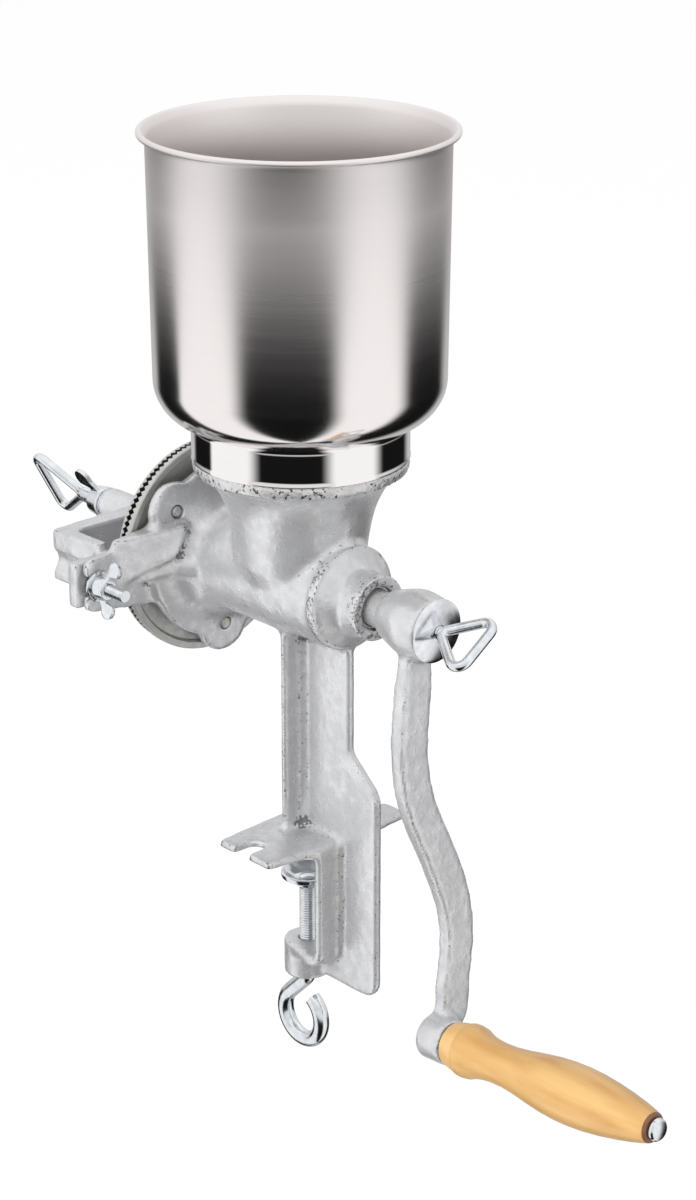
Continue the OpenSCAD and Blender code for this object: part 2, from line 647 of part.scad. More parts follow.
module burr_carrier() {
    front_x = turning_back_x - seat_gap / 2;
    rim_x = carrier_back_x - carrier_rim_h;
    rib_count = 6;
    color(tinned_iron) difference() {
        union() {
            turned([[0, turning_face_x - groove_h], [carrier_hub_r, turning_face_x - groove_h],
                    [carrier_hub_r, front_x], [carrier_r, front_x], [carrier_r, rim_x],
                    [carrier_r - carrier_t, rim_x], [carrier_r - carrier_t, carrier_back_x],
                    [carrier_hub_r + carrier_rim_h, carrier_back_x], [carrier_hub_r, rim_x],
                    [carrier_hub_r - carrier_rim_h / 2, hub_tail_x], [0, hub_tail_x]]);
            for (i = [0:rib_count - 1]) translate([0, 0, axis_z]) rotate([(i + 1 / 2) * 360 / rib_count, 0, 0])
                translate([rim_x, -carrier_t / 2, carrier_hub_r / 2])
                    cube([carrier_rim_h + carrier_t / 2, carrier_t, carrier_r - carrier_t / 2 - carrier_hub_r / 2]);
        }
        bar_x(hub_tail_x - overrun, turning_face_x + overrun, shaft_tail_r + running_gap);
        plate_x(rim_x - overrun, front_x + overrun)
            place_pins(turning_pin_angles, turning_pin_place_r) circle(r = burr_pin_r + running_gap);
        carrier_pin_rod(running_gap, overrun);
    }
}

carrier_pin_r = 2;
carrier_pin_half = carrier_hub_r + carrier_pin_r;
carrier_pin_x = carrier_back_x - carrier_pin_r * 5 / 4;
module carrier_pin_rod(extra_r, extra_l) {
    translate([carrier_pin_x, 0, axis_z - carrier_pin_half - extra_l])
        cylinder(h = (carrier_pin_half + extra_l) * 2, r = carrier_pin_r + extra_r, $fn = 32);
}

module carrier_pin() {
    color(zinc) carrier_pin_rod(0, 0);
}

// The flat that stops the crank on the shaft
drive_flat_share = 0.76;
module drive_flat(from, to, r) {
    translate([from, -r - overrun, axis_z + r * drive_flat_share]) cube([to - from, (r + overrun) * 2, r]);
}

module auger() {
    worm_from = -flange_reach + burr_gap;
    worm_l = chamber_end - burr_gap * 2 - worm_from;
    worm_half_angle = 26;
    inner = shaft_tail_r - burr_gap;
    color(dark_iron) difference() {
        union() {
            bar_x(tail_end_x, -flange_reach, shaft_tail_r);
            bar_x(-flange_reach - burr_gap / 2, shaft_end_x, shaft_r);
            translate([worm_from, 0, axis_z]) rotate([0, 90, 0])
                linear_extrude(worm_l, twist = -360 * worm_l / worm_pitch, slices = 84, $fn = 8)
                    polygon([for (s = [0:4]) inner * [cos(worm_half_angle * (s / 2 - 1)), sin(worm_half_angle * (s / 2 - 1))],
                             for (s = [4:-1:0]) worm_r * [cos(worm_half_angle * (s / 2 - 1) / 2), sin(worm_half_angle * (s / 2 - 1) / 2)]]);
        }
        carrier_pin_rod(running_gap, 0);
        translate([ball_x, 0, axis_z]) sphere(r = ball_r + seat_gap);
        drive_flat(crank_x + hub_l / 8, shaft_end_x + overrun, shaft_r);
        bar_x(shaft_end_x - hub_l / 2, shaft_end_x + overrun, thumb_r + running_gap);
    }
}

module thrust_ball() {
    color(zinc) translate([ball_x, 0, axis_z]) sphere(r = ball_r);
}

// Plan of the yoke's half on the +Y side: crossbar, bent corner, arm and lug
module yoke_plan() {
    bar_back = -yoke_bar_x - yoke_bar_t;
    corner_y = yoke_half + yoke_arm_t + yoke_bow / 2;
    polygon([[-yoke_bar_x, 0], [-yoke_bar_x, yoke_half - yoke_arm_t / 2], [-yoke_bar_x + yoke_arm_t / 2, yoke_half],
             [-ear_reach - lug_t, yoke_half], [-ear_reach - lug_t, yoke_half + yoke_arm_t],
             [-yoke_bar_x + yoke_bar_t, yoke_half + yoke_arm_t + yoke_bow / 2], [bar_back, corner_y],
             [bar_back - yoke_bow / 6, corner_y - yoke_arm_t], [bar_back - yoke_bow * 3 / 4, yoke_half / 3], [bar_back - yoke_bow, 0]]);
}

module yoke() {
    bar_back = -yoke_bar_x - yoke_bar_t;
    color(tinned_iron) difference() {
        union() {
            translate([0, 0, axis_z - yoke_down]) linear_extrude(yoke_up + yoke_down) {
                yoke_plan();
                mirror([0, 1]) yoke_plan();
            }
            both_sides() plate_x(-ear_reach - seat_gap - lug_t, -ear_reach - seat_gap)
                translate([yoke_half, ear_z - ear_tip_half + yoke_bow / 2])
                    square([lug_tip_y - yoke_half, ear_tip_half * 2 - yoke_bow]);
            turned([[0, bar_back], [yoke_boss_r + yoke_bow, bar_back], [yoke_boss_r + yoke_bow / 2, bar_back - yoke_bow * 2],
                    [yoke_boss_r, bar_back - yoke_bow * 3], [yoke_boss_r, yoke_boss_end_x], [0, yoke_boss_end_x]]);
        }
        bar_x(yoke_boss_end_x - overrun, -yoke_bar_x + overrun, adjust_r + running_gap);
        both_sides() translate([-ear_reach - lug_t * 2, yoke_bolt_y, bolt_z]) rotate([0, 90, 0])
            cylinder(h = lug_t * 2 + overrun, r = yoke_bolt_r + running_gap);
        // the cast hollow along the outside of the arms and the crossbar
        both_sides() translate([bar_back - yoke_bow, yoke_half + yoke_arm_t * 3 / 2 + yoke_bow / 2, axis_z + ear_z])
            rotate([0, 90, 0]) cylinder(h = yoke_bar_x - ear_reach - lug_t + yoke_bar_t, r = yoke_arm_t, $fn = 48);
    }
}

module yoke_bolts() {
    head_h = lug_t * 2 / 3;
    color(zinc) both_sides() translate([-ear_reach - seat_gap * 2 - lug_t, yoke_bolt_y, bolt_z]) rotate([0, 90, 0]) {
        translate([0, 0, -head_h]) cylinder(h = head_h, r = yoke_bolt_r * 2, $fn = 6);
        cylinder(h = seat_gap * 2 + lug_t + ear_t + yoke_bolt_out, r = yoke_bolt_r);
    }
}

module washer_ring(outer_r, hole_r) {
    rotate([0, 90, 0]) difference() {
        cylinder(h = washer_t, r = outer_r);
        translate([0, 0, -overrun]) cylinder(h = washer_t + overrun * 2, r = hole_r);
    }
}

// A wing nut with its foot at the origin and its axis along +X; the wings lie along +Y and -Y
module wing_nut(hole_r, size_share) {
    hub_h = wing_hub_h * size_share;
    hub_r = wing_hub_r * size_share;
    reach = wing_reach * size_share;
    tip_r = hub_r * 3 / 4;
    difference() {
        union() {
            rotate([0, 90, 0]) cylinder(h = hub_h, r1 = hub_r, r2 = hub_r * 5 / 6);
            both_sides() translate([0, 0, -wing_t / 2]) linear_extrude(wing_t) {
                translate([hub_h + tip_r / 3, reach - tip_r]) circle(r = tip_r, $fn = 48);
                polygon([[hub_h / 6, 0], [hub_h / 6, hub_r], [hub_h - tip_r / 3, reach - tip_r / 6],
                         [hub_h + tip_r * 4 / 3, reach - tip_r], [hub_h * 5 / 6, hub_r], [hub_h * 5 / 6, 0]]);
            }
        }
        translate([-overrun, 0, 0]) rotate([0, 90, 0]) cylinder(h = hub_h + reach, r = hole_r);
    }
}

module yoke_washer(side) {
    color(zinc) translate([ear_front_x + seat_gap, side * yoke_bolt_y, bolt_z])
        washer_ring(washer_r, yoke_bolt_r + running_gap);
}

module yoke_wing_nut(side, turn) {
    color(zinc) translate([ear_front_x + seat_gap * 2 + washer_t, side * yoke_bolt_y, bolt_z])
        rotate([turn, 0, 0]) wing_nut(yoke_bolt_r + running_gap, 1);
}

lock_share = 1.4;
module lock_washer() {
    color(zinc) translate([yoke_boss_end_x - seat_gap - washer_t, 0, axis_z])
        washer_ring(washer_r, adjust_r + running_gap);
}

module lock_wing_nut() {
    color(zinc) translate([yoke_boss_end_x - seat_gap * 2 - washer_t, 0, axis_z])
        rotate([lock_wing_turn, 0, 0]) mirror([1, 0, 0]) wing_nut(adjust_r + running_gap, lock_share);
}

// A closed loop of bent rod in the XY plane: its root at the origin, its far side along +X
module rod_loop(depth, half) {
    root = [0, 0];
    left = [depth, half];
    right = [depth, -half];
    bent_rod(concat(corner(right, root, left, loop_rod_r * 3 / 2), corner(root, left, right, loop_bend_r),
                    corner(left, right, root, loop_bend_r)), loop_rod_r, true);
}

module adjusting_screw() {
    color(zinc) {
        bar_x(adjust_root_x - loop_rod_r, screw_tip_x, adjust_r);
        translate([adjust_root_x, 0, axis_z]) rotate([adjust_loop_turn, 0, 0]) mirror([1, 0, 0])
            rod_loop(adjust_loop_l, adjust_loop_half);
    }
}

module crank_thumbscrew() {
    color(zinc) {
        bar_x(shaft_end_x - hub_l / 2 + seat_gap * 5, thumb_root_x + loop_rod_r * 3 / 2, thumb_r);
        translate([thumb_root_x, 0, axis_z]) rotate([thumb_loop_turn, 0, 0])
            rod_loop(thumb_loop_l, thumb_loop_half);
    }
}

module crank_washer() {
    color(zinc) difference() {
        turned([[0, crank_washer_x], [hub_r - arm_t / 5, crank_washer_x], [hub_r - arm_t / 5, crank_washer_x + crank_washer_t / 3],
                [hub_r - arm_t / 3, crank_washer_x + crank_washer_t * 2 / 3], [thumb_r * 2, crank_washer_x + crank_washer_t],
                [0, crank_washer_x + crank_washer_t]]);
        bar_x(crank_washer_x - overrun, crank_washer_x + crank_washer_t + overrun, thumb_r + running_gap);
    }
}

// Centre line of the crank arm as shares of its throw and of its swing
arm_drop_shares = [0.03, 0.183, 0.298, 0.417, 0.557, 0.701, 0.827, 0.943, 0.985];
arm_side_shares = [0, -0.28, -0.445, -0.29, 0.335, 0.99, 1, 0.62, 0.2];
arm_line = curve([for (i = [0:len(arm_drop_shares) - 1])
    [arm_swing * arm_side_shares[i], -crank_throw * arm_drop_shares[i]]], 5);
function arm_side(i) =
    let (n = len(arm_line) - 1, d = arm_line[min(i + 1, n)] - arm_line[max(i - 1, 0)])
    [-d[1], d[0]] / norm(d) * arm_w / 2;

// The boss reaches a little past the arm on the inside; the rest of it carries the handle
boss_edge = arm_t / 4;
boss_in = arm_t / 2 + boss_edge / 2;

// Moves its children from the hub's middle into the leaning crank arm
module in_arm() {
    translate([arm_x, 0, axis_z]) rotate([0, -crank_lean, 0]) children();
}

module in_handle() {
    in_arm() translate([0, 0, -crank_throw]) rotate([0, 90, 0]) children();
}

module crank() {
    n = len(arm_line) - 1;
    neck = shaft_r + arm_t / 3;
    color(tinned_iron) difference() {
        union() {
            turned(concat([[0, crank_x], [neck, crank_x]],
                curve([[neck, crank_x], [hub_r - arm_t / 3, crank_x + hub_l / 4], [hub_r, crank_x + hub_l * 5 / 9],
                       [hub_r - arm_t / 10, crank_x + hub_l * 5 / 6], [hub_r - arm_t / 5, hub_face_x]], 4),
                [[0, hub_face_x]]));
            in_arm() rotate([90, 0, 90]) linear_extrude(arm_t, center = true)
                polygon([for (i = [0:n]) arm_line[i] + arm_side(i), for (i = [n:-1:0]) arm_line[i] - arm_side(i)]);
            in_handle() translate([0, 0, -boss_in]) {
                translate([0, 0, boss_edge]) cylinder(h = boss_l - boss_edge, r = boss_r);
                cylinder(h = boss_edge, r1 = boss_r - boss_edge, r2 = boss_r);
            }
        }
        difference() {
            bar_x(crank_x - overrun, hub_face_x - hub_l / 8, shaft_r + running_gap);
            drive_flat(crank_x + hub_l / 8 + running_gap, hub_face_x, shaft_r + running_gap * 2);
        }
        bar_x(crank_x, hub_face_x + overrun, thumb_r + running_gap);
        in_handle() translate([0, 0, -boss_in - overrun]) cylinder(h = boss_l + overrun * 2, r = grip_bolt_r + running_gap);
    }
}

grip_gap = 0.8;
grip_head_h = grip_head_r / 2;
grip_start = boss_l - boss_in + grip_gap / 2;
grip_place_shares = [0, 0.016, 0.071, 0.103, 0.149, 0.206, 0.254, 0.325, 0.413, 0.496, 0.587, 0.675, 0.762,
                     0.849, 0.937, 0.984, 1];
grip_radius_shares = [0.728, 0.81, 0.882, 0.872, 0.772, 0.691, 0.68, 0.713, 0.838, 0.956, 1, 1, 0.919,
                      0.794, 0.603, 0.456, 0.4];
module wooden_handle() {
    color(varnished_wood) in_handle() translate([0, 0, grip_start]) difference() {
        rotate_extrude() polygon(concat([[0, 0]],
            [for (i = [0:len(grip_place_shares) - 1]) [grip_r * grip_radius_shares[i], grip_l * grip_place_shares[i]]],
            [[0, grip_l]]));
        translate([0, 0, -overrun]) cylinder(h = grip_l + overrun * 2, r = grip_bolt_r + running_gap);
    }
}

module handle_bolt() {
    head_z = grip_start + grip_l + grip_gap;
    color(zinc) in_handle() {
        translate([0, 0, -boss_in - boss_edge / 2]) cylinder(h = head_z + boss_in + boss_edge, r = grip_bolt_r);
        translate([0, 0, head_z]) rotate_extrude()
            polygon([[0, 0], [grip_head_r, 0], [grip_head_r, grip_head_h / 3], [grip_head_r * 4 / 5, grip_head_h * 4 / 5],
                     [grip_head_r * 2 / 5, grip_head_h], [0, grip_head_h]]);
    }
}

// The pad is a dish open to the table; the screw's riveted end turns in its collar
pad_floor_z = -pad_drop - pad_dish_h;
module clamp_pad() {
    collar_h = pad_t * 2;
    color(zinc) translate([clamp_x, 0, 0]) difference() {
        rotate_extrude() polygon([[0, pad_floor_z - collar_h], [pad_collar_r, pad_floor_z - collar_h],
            [pad_collar_r, pad_floor_z - pad_t / 2], [pad_r, -pad_drop - pad_t], [pad_r, -pad_drop],
            [pad_r - pad_t, -pad_drop], [pad_collar_r, pad_floor_z + pad_t / 2], [pad_collar_r, pad_floor_z], [0, pad_floor_z]]);
        translate([0, 0, pad_floor_z - collar_h - overrun])
            cylinder(h = collar_h + overrun * 2, r = clamp_screw_r * 4 / 5 + running_gap);
    }
}

// The rod is bent back toward the burrs right under the jaw, then curls round into the open hook
hook_bend = 45;
hook_curl = 282;
hook_limb_share = 1.21;
module clamp_screw() {
    tip_r = clamp_screw_r * 4 / 5;
    neck_z = pad_floor_z - pad_t * 2 - seat_gap;
    hook_z = -jaw_drop - jaw_boss_h - hook_neck_l;
    bend_r = clamp_screw_r * 4 / 3;
    away = [-sin(hook_bend), -cos(hook_bend)];
    side = [cos(hook_bend), -sin(hook_bend)];
    limb_end = [-bend_r + bend_r * side[0], hook_z + bend_r * side[1]] + away * hook_r * hook_limb_share;
    curl = limb_end + side * hook_r;
    color(zinc) translate([clamp_x, 0, 0]) {
        translate([0, 0, neck_z - overrun]) cylinder(h = pad_floor_z - neck_z + overrun * 2, r = tip_r);
        translate([0, 0, pad_floor_z + seat_gap]) cylinder(h = pad_t, r = tip_r + pad_t / 2);
        translate([0, 0, hook_z]) cylinder(h = neck_z - hook_z, r = clamp_screw_r);
        rotate([90, 0, 0]) bent_rod(concat([[0, hook_z + clamp_screw_r]], arc(-bend_r, hook_z, bend_r, 0, -hook_bend, 5),
            arc(curl[0], curl[1], hook_r, 180 - hook_bend, 180 - hook_bend + hook_curl, 28)),
            clamp_screw_r - seat_gap / 2, false);
    }
}

body_casting();
hopper_bowl();
stationary_burr();
stationary_burr_pins();
rotating_burr();
rotating_burr_pins();
burr_carrier();
carrier_pin();
auger();
thrust_ball();
yoke();
yoke_bolts();
yoke_washer(-1);  // yoke_washer_near
yoke_washer(1);  // yoke_washer_far
yoke_wing_nut(-1, near_wing_turn);  // yoke_wing_nut_near
yoke_wing_nut(1, far_wing_turn);  // yoke_wing_nut_far
adjusting_screw();
lock_washer();
lock_wing_nut();
crank();
crank_washer();
crank_thumbscrew();
handle_bolt();
wooden_handle();
clamp_pad();
clamp_screw();
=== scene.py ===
import json
import math
import bpy
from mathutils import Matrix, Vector

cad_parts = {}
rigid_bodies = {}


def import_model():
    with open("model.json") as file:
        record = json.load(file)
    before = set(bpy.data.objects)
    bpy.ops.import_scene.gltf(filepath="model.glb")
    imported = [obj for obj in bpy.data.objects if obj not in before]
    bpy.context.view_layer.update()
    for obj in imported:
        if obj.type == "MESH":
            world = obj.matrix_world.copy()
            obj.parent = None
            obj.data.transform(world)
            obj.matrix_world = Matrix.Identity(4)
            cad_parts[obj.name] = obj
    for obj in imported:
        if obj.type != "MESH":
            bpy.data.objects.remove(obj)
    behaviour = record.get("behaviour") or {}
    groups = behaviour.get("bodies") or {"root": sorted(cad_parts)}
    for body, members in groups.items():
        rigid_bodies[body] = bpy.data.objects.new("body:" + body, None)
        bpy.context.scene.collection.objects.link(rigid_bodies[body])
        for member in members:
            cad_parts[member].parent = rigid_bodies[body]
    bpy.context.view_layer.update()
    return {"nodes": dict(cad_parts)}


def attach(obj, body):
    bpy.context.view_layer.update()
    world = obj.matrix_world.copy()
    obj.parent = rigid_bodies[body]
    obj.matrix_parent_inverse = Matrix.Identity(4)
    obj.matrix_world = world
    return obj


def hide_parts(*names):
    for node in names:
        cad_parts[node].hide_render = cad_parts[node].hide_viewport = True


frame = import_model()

# All sizes below are millimetres in the frame's own axes. These few carry most of the others.
axis_z = 124
seat_gap = 0.1
burr_face_x = -64.4
crank_face_x = 87.6
bolt_y = 71.4
bolt_z = 122.5
clamp_x = 3
crank_lean = math.radians(4.6)

# The studio: a white room with a pale floor, and tall soft boxes to the left and the right of the mill. The
# camera looks down a little on the crank side, from 1.3 m away.
camera = bpy.data.objects.new("camera", bpy.data.cameras.new("camera"))
bpy.context.scene.collection.objects.link(camera)
camera.data.lens = 90
camera.data.sensor_width = 36
camera.location = (0.9567, -0.8360, 0.5937)
look = Vector((0.01665, 0.01326, 0.11496)) - camera.location
camera.rotation_euler = look.to_track_quat("-Z", "Y").to_euler()
bpy.context.scene.camera = camera
bpy.context.scene.view_settings.view_transform = "Standard"

world = bpy.data.worlds.new("white_room")
bpy.context.scene.world = world
world.use_nodes = True
nodes, links = world.node_tree.nodes, world.node_tree.links
direction = nodes.new("ShaderNodeTexCoord")
part = nodes.new("ShaderNodeSeparateXYZ")
links.new(direction.outputs["Generated"], part.inputs[0])
turn = nodes.new("ShaderNodeMath")
turn.operation = "ARCTAN2"
links.new(part.outputs["Y"], turn.inputs[0])
links.new(part.outputs["X"], turn.inputs[1])


def room_math(kind, first, second=None, third=None):
    step = nodes.new("ShaderNodeMath")
    step.operation = kind
    for slot, value in enumerate([first, second, third]):
        if isinstance(value, (int, float)):
            step.inputs[slot].default_value = value
        elif value is not None:
            links.new(value, step.inputs[slot])
    return step.outputs[0]


def fade(value, low, high):
    step = nodes.new("ShaderNodeMapRange")
    step.interpolation_type = "SMOOTHSTEP"
    step.inputs["From Min"].default_value = low
    step.inputs["From Max"].default_value = high
    links.new(value, step.inputs["Value"])
    return step.outputs["Result"]


# A tall soft box is a bright patch of the room, from start to end in degrees about Z, with soft edges.
def soft_box(start, start_edge, end, end_edge, strength):
    rise = fade(turn.outputs[0], math.radians(start - start_edge), math.radians(start + start_edge))
    fall = fade(turn.outputs[0], math.radians(end - end_edge), math.radians(end + end_edge))
    return room_math("MULTIPLY", room_math("MULTIPLY", rise, room_math("SUBTRACT", 1, fall)), strength)


left_box = soft_box(start=-149, start_edge=3, end=-91, end_edge=9, strength=1.06)
right_box = soft_box(start=-12, start_edge=9, end=47, end_edge=9, strength=1.06)
rear_box = soft_box(start=104, start_edge=10, end=172, end_edge=7, strength=0.55)
walls = room_math("MAXIMUM", room_math("MAXIMUM", left_box, right_box), rear_box)
front = room_math("MULTIPLY_ADD", fade(part.outputs["Z"], -0.30, -0.12), 0.85, 0.008)
walls = room_math("MAXIMUM", walls, front)
ceiling = room_math("MULTIPLY", fade(part.outputs["Z"], 0.35, 0.6), 1.1)
room = room_math("MAXIMUM", walls, ceiling)
rays = nodes.new("ShaderNodeLightPath")
background = room_math("MAXIMUM", rays.outputs["Is Camera Ray"], rays.outputs["Is Transmission Ray"])
nodes["Background"].inputs["Color"].default_value = (1, 1, 1, 1)
links.new(room_math("MAXIMUM", room, background), nodes["Background"].inputs["Strength"])


# A soft lamp lights the rough surfaces and shows in no reflection. A strong one stands on the left and a weak
# one beside the camera.
def soft_lamp(name, place, size, energy):
    lamp = bpy.data.objects.new(name, bpy.data.lights.new(name, "AREA"))
    bpy.context.scene.collection.objects.link(lamp)
    lamp.data.size = size
    lamp.data.energy = energy
    lamp.location = place
    lamp.rotation_euler = (Vector((0, 0, 0.1)) - lamp.location).to_track_quat("-Z", "Y").to_euler()
    lamp.visible_glossy = False


soft_lamp("key_lamp", (-0.1, -1.3, 0.75), size=0.5, energy=17)
soft_lamp("fill_lamp", (1.35, -1.0, 0.55), size=1.5, energy=8)

floor_z = -0.15
bpy.ops.mesh.primitive_plane_add(size=6, location=(0, 0, floor_z))
floor = bpy.context.object
floor.name = "floor"
floor_white = bpy.data.materials.new("floor_white")
floor_white.use_nodes = True
nodes, links = floor_white.node_tree.nodes, floor_white.node_tree.links
nodes["Principled BSDF"].inputs["Base Color"].default_value = (0.9, 0.9, 0.9, 1)
nodes["Principled BSDF"].inputs["Roughness"].default_value = 0.8
glow = nodes.new("ShaderNodeEmission")
rays = nodes.new("ShaderNodeLightPath")
share = nodes.new("ShaderNodeMath")
share.operation = "MULTIPLY"
share.inputs[1].default_value = 0.75
links.new(rays.outputs["Is Camera Ray"], share.inputs[0])
blend = nodes.new("ShaderNodeMixShader")
links.new(share.outputs[0], blend.inputs["Fac"])
links.new(nodes["Principled BSDF"].outputs["BSDF"], blend.inputs[1])
links.new(glow.outputs["Emission"], blend.inputs[2])
clear = nodes.new("ShaderNodeBsdfTransparent")
unseen = nodes.new("ShaderNodeMixShader")
links.new(rays.outputs["Is Glossy Ray"], unseen.inputs["Fac"])
links.new(blend.outputs["Shader"], unseen.inputs[1])
links.new(clear.outputs["BSDF"], unseen.inputs[2])
links.new(unseen.outputs["Shader"], nodes["Material Output"].inputs["Surface"])
floor.data.materials.append(floor_white)

# The body is one grey-iron sand casting: mouth, barrel, burr flange with its eared arms, bearing nose,
# column, seat plate and clamp. It is dipped in tin, which leaves a bright skin with dark specks in its pits.
def clear_selection():
    for other in bpy.context.view_layer.objects:
        other.select_set(False)


def work_on(piece):
    clear_selection()
    piece.select_set(True)
    bpy.context.view_layer.objects.active = piece


def apply_modifier(piece, kind, **settings):
    work_on(piece)
    step = piece.modifiers.new(kind.lower(), kind)
    for name, value in settings.items():
        setattr(step, name, value)
    bpy.ops.object.modifier_apply(modifier=step.name)


def copy_of(name, node):
    piece = bpy.data.objects.new(name, frame["nodes"][node].data.copy())
    bpy.context.scene.collection.objects.link(piece)
    piece.data.materials.clear()
    work_on(piece)
    bpy.ops.object.mode_set(mode="EDIT")
    bpy.ops.mesh.select_all(action="SELECT")
    bpy.ops.mesh.remove_doubles(threshold=0.000001)
    bpy.ops.object.mode_set(mode="OBJECT")
    return piece


ripple = bpy.data.textures.new("sand_ripple", "CLOUDS")
ripple.noise_scale = 0.012


# Swelling the piece, taking a new skin and shrinking it back leaves the round inner corners of a casting.
def sand_cast(piece, grain, fillet, rounds, ripple_h=0.4):
    skin = grain / 1000 * 1
    apply_modifier(piece, "REMESH", mode="VOXEL", voxel_size=skin)
    for swell in (fillet / 1000, -fillet / 1000):
        apply_modifier(piece, "DISPLACE", strength=swell, mid_level=0)
        apply_modifier(piece, "REMESH", mode="VOXEL", voxel_size=skin)
    apply_modifier(piece, "SMOOTH", factor=0.5, iterations=rounds)
    apply_modifier(piece, "DISPLACE", texture=ripple, texture_coords="LOCAL", strength=ripple_h / 1000,
                   mid_level=0.6)


def place_piece(piece, node, body, finish):
    piece.data.materials.clear()
    piece.data.materials.append(finish)
    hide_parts(node)
    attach(piece, body)


def at_place(piece, place, turns=(0, 0, 0)):
    work_on(piece)
    piece.rotation_euler = turns
    piece.location = Vector(place) / 1000
    bpy.ops.object.transform_apply(location=True, rotation=True, scale=True)
    return piece


# Draws an open line through the points, in edit mode, and leaves its last point selected.
def draw_line(name, points):
    spots = [Vector(point) / 1000 for point in points]
    clear_selection()
    bpy.ops.mesh.primitive_plane_add(size=0.001, location=spots[0])
    piece = bpy.context.object
    piece.name = name
    bpy.ops.object.mode_set(mode="EDIT")
    bpy.ops.mesh.select_all(action="SELECT")
    bpy.ops.mesh.merge(type="CENTER")
    for before, after in zip(spots, spots[1:]):
        bpy.ops.mesh.extrude_region_move(TRANSFORM_OT_translate={"value": after - before})
    return piece


def close_up(piece, angle=32):
    bpy.ops.mesh.select_all(action="SELECT")
    bpy.ops.mesh.remove_doubles(threshold=0.000005)
    bpy.ops.mesh.normals_make_consistent(inside=False)
    bpy.ops.object.mode_set(mode="OBJECT")
    work_on(piece)
    bpy.ops.object.transform_apply(location=True, rotation=True, scale=True)
    bpy.ops.object.shade_smooth_by_angle(angle=math.radians(angle))
    return piece


# Turns a piece on the lathe: its outline gives radius and place along the axis.
def turn_piece(name, outline, along="X", centre=(0, 0, axis_z), steps=96, angle=32):
    middle = Vector(centre)
    line = [middle + Vector((r, 0, place) if along == "Z" else (place, 0, r)) for r, place in outline]
    piece = draw_line(name, line)
    bpy.ops.mesh.select_all(action="SELECT")
    lathe_axis = (0, 0, 1) if along == "Z" else (1, 0, 0)
    bpy.ops.mesh.spin(steps=steps, angle=2 * math.pi, center=middle / 1000, axis=lathe_axis)
    return close_up(piece, angle)


def round_part(cx, cy, r, start, end, steps):
    return [(cx + r * math.cos(math.radians(start + (end - start) * i / steps)),
             cy + r * math.sin(math.radians(start + (end - start) * i / steps))) for i in range(steps + 1)]


def join_pieces(name, pieces):
    clear_selection()
    for piece in pieces:
        piece.select_set(True)
    bpy.context.view_layer.objects.active = pieces[0]
    bpy.ops.object.join()
    pieces[0].name = name
    return pieces[0]


def cut_away(piece, cutters):
    cutter = join_pieces("cutter", cutters)
    apply_modifier(piece, "BOOLEAN", operation="DIFFERENCE", object=cutter, solver="EXACT")
    bpy.data.objects.remove(cutter)
    work_on(piece)
    bpy.ops.object.shade_smooth_by_angle(angle=math.radians(50))


def noise(nodes, links, place, scale, detail, stretch=(1, 1, 1), turns=(0, 0, 0)):
    lie = nodes.new("ShaderNodeMapping")
    lie.inputs["Scale"].default_value = stretch
    lie.inputs["Rotation"].default_value = turns
    links.new(place.outputs["Object"], lie.inputs["Vector"])
    grain = nodes.new("ShaderNodeTexNoise")
    grain.inputs["Scale"].default_value = scale
    grain.inputs["Detail"].default_value = detail
    links.new(lie.outputs["Vector"], grain.inputs["Vector"])
    return grain.outputs["Fac"]


def spread(nodes, links, value, low, high, to_low, to_high):
    step = nodes.new("ShaderNodeMapRange")
    step.inputs["From Min"].default_value = low
    step.inputs["From Max"].default_value = high
    step.inputs["To Min"].default_value = to_low
    step.inputs["To Max"].default_value = to_high
    links.new(value, step.inputs["Value"])
    return step.outputs["Result"]


def blend_colour(nodes, links, factor, first, second):
    tone = nodes.new("ShaderNodeMix")
    tone.data_type = "RGBA"
    links.new(factor, tone.inputs["Factor"])
    for end, value in (("A", first), ("B", second)):
        if isinstance(value, tuple):
            tone.inputs[end].default_value = (*value, 1)
        else:
            links.new(value, tone.inputs[end])
    return tone.outputs["Result"]


def relief(nodes, links, height, strength, depth, under=None):
    bump = nodes.new("ShaderNodeBump")
    bump.inputs["Strength"].default_value = strength
    bump.inputs["Distance"].default_value = depth / 1000
    links.new(height, bump.inputs["Height"])
    if under is not None:
        links.new(under, bump.inputs["Normal"])
    return bump.outputs["Normal"]


def new_finish(name, metallic):
    finish = bpy.data.materials.new(name)
    finish.use_nodes = True
    nodes, links = finish.node_tree.nodes, finish.node_tree.links
    shader = nodes["Principled BSDF"]
    shader.inputs["Metallic"].default_value = metallic
    return finish, nodes, links, shader, nodes.new("ShaderNodeTexCoord")


def combine(nodes, links, kind, first, second):
    step = nodes.new("ShaderNodeMath")
    step.operation = kind
    step.use_clamp = True
    for slot, value in enumerate((first, second)):
        if isinstance(value, (int, float)):
            step.inputs[slot].default_value = value
        else:
            links.new(value, step.inputs[slot])
    return step.outputs[0]


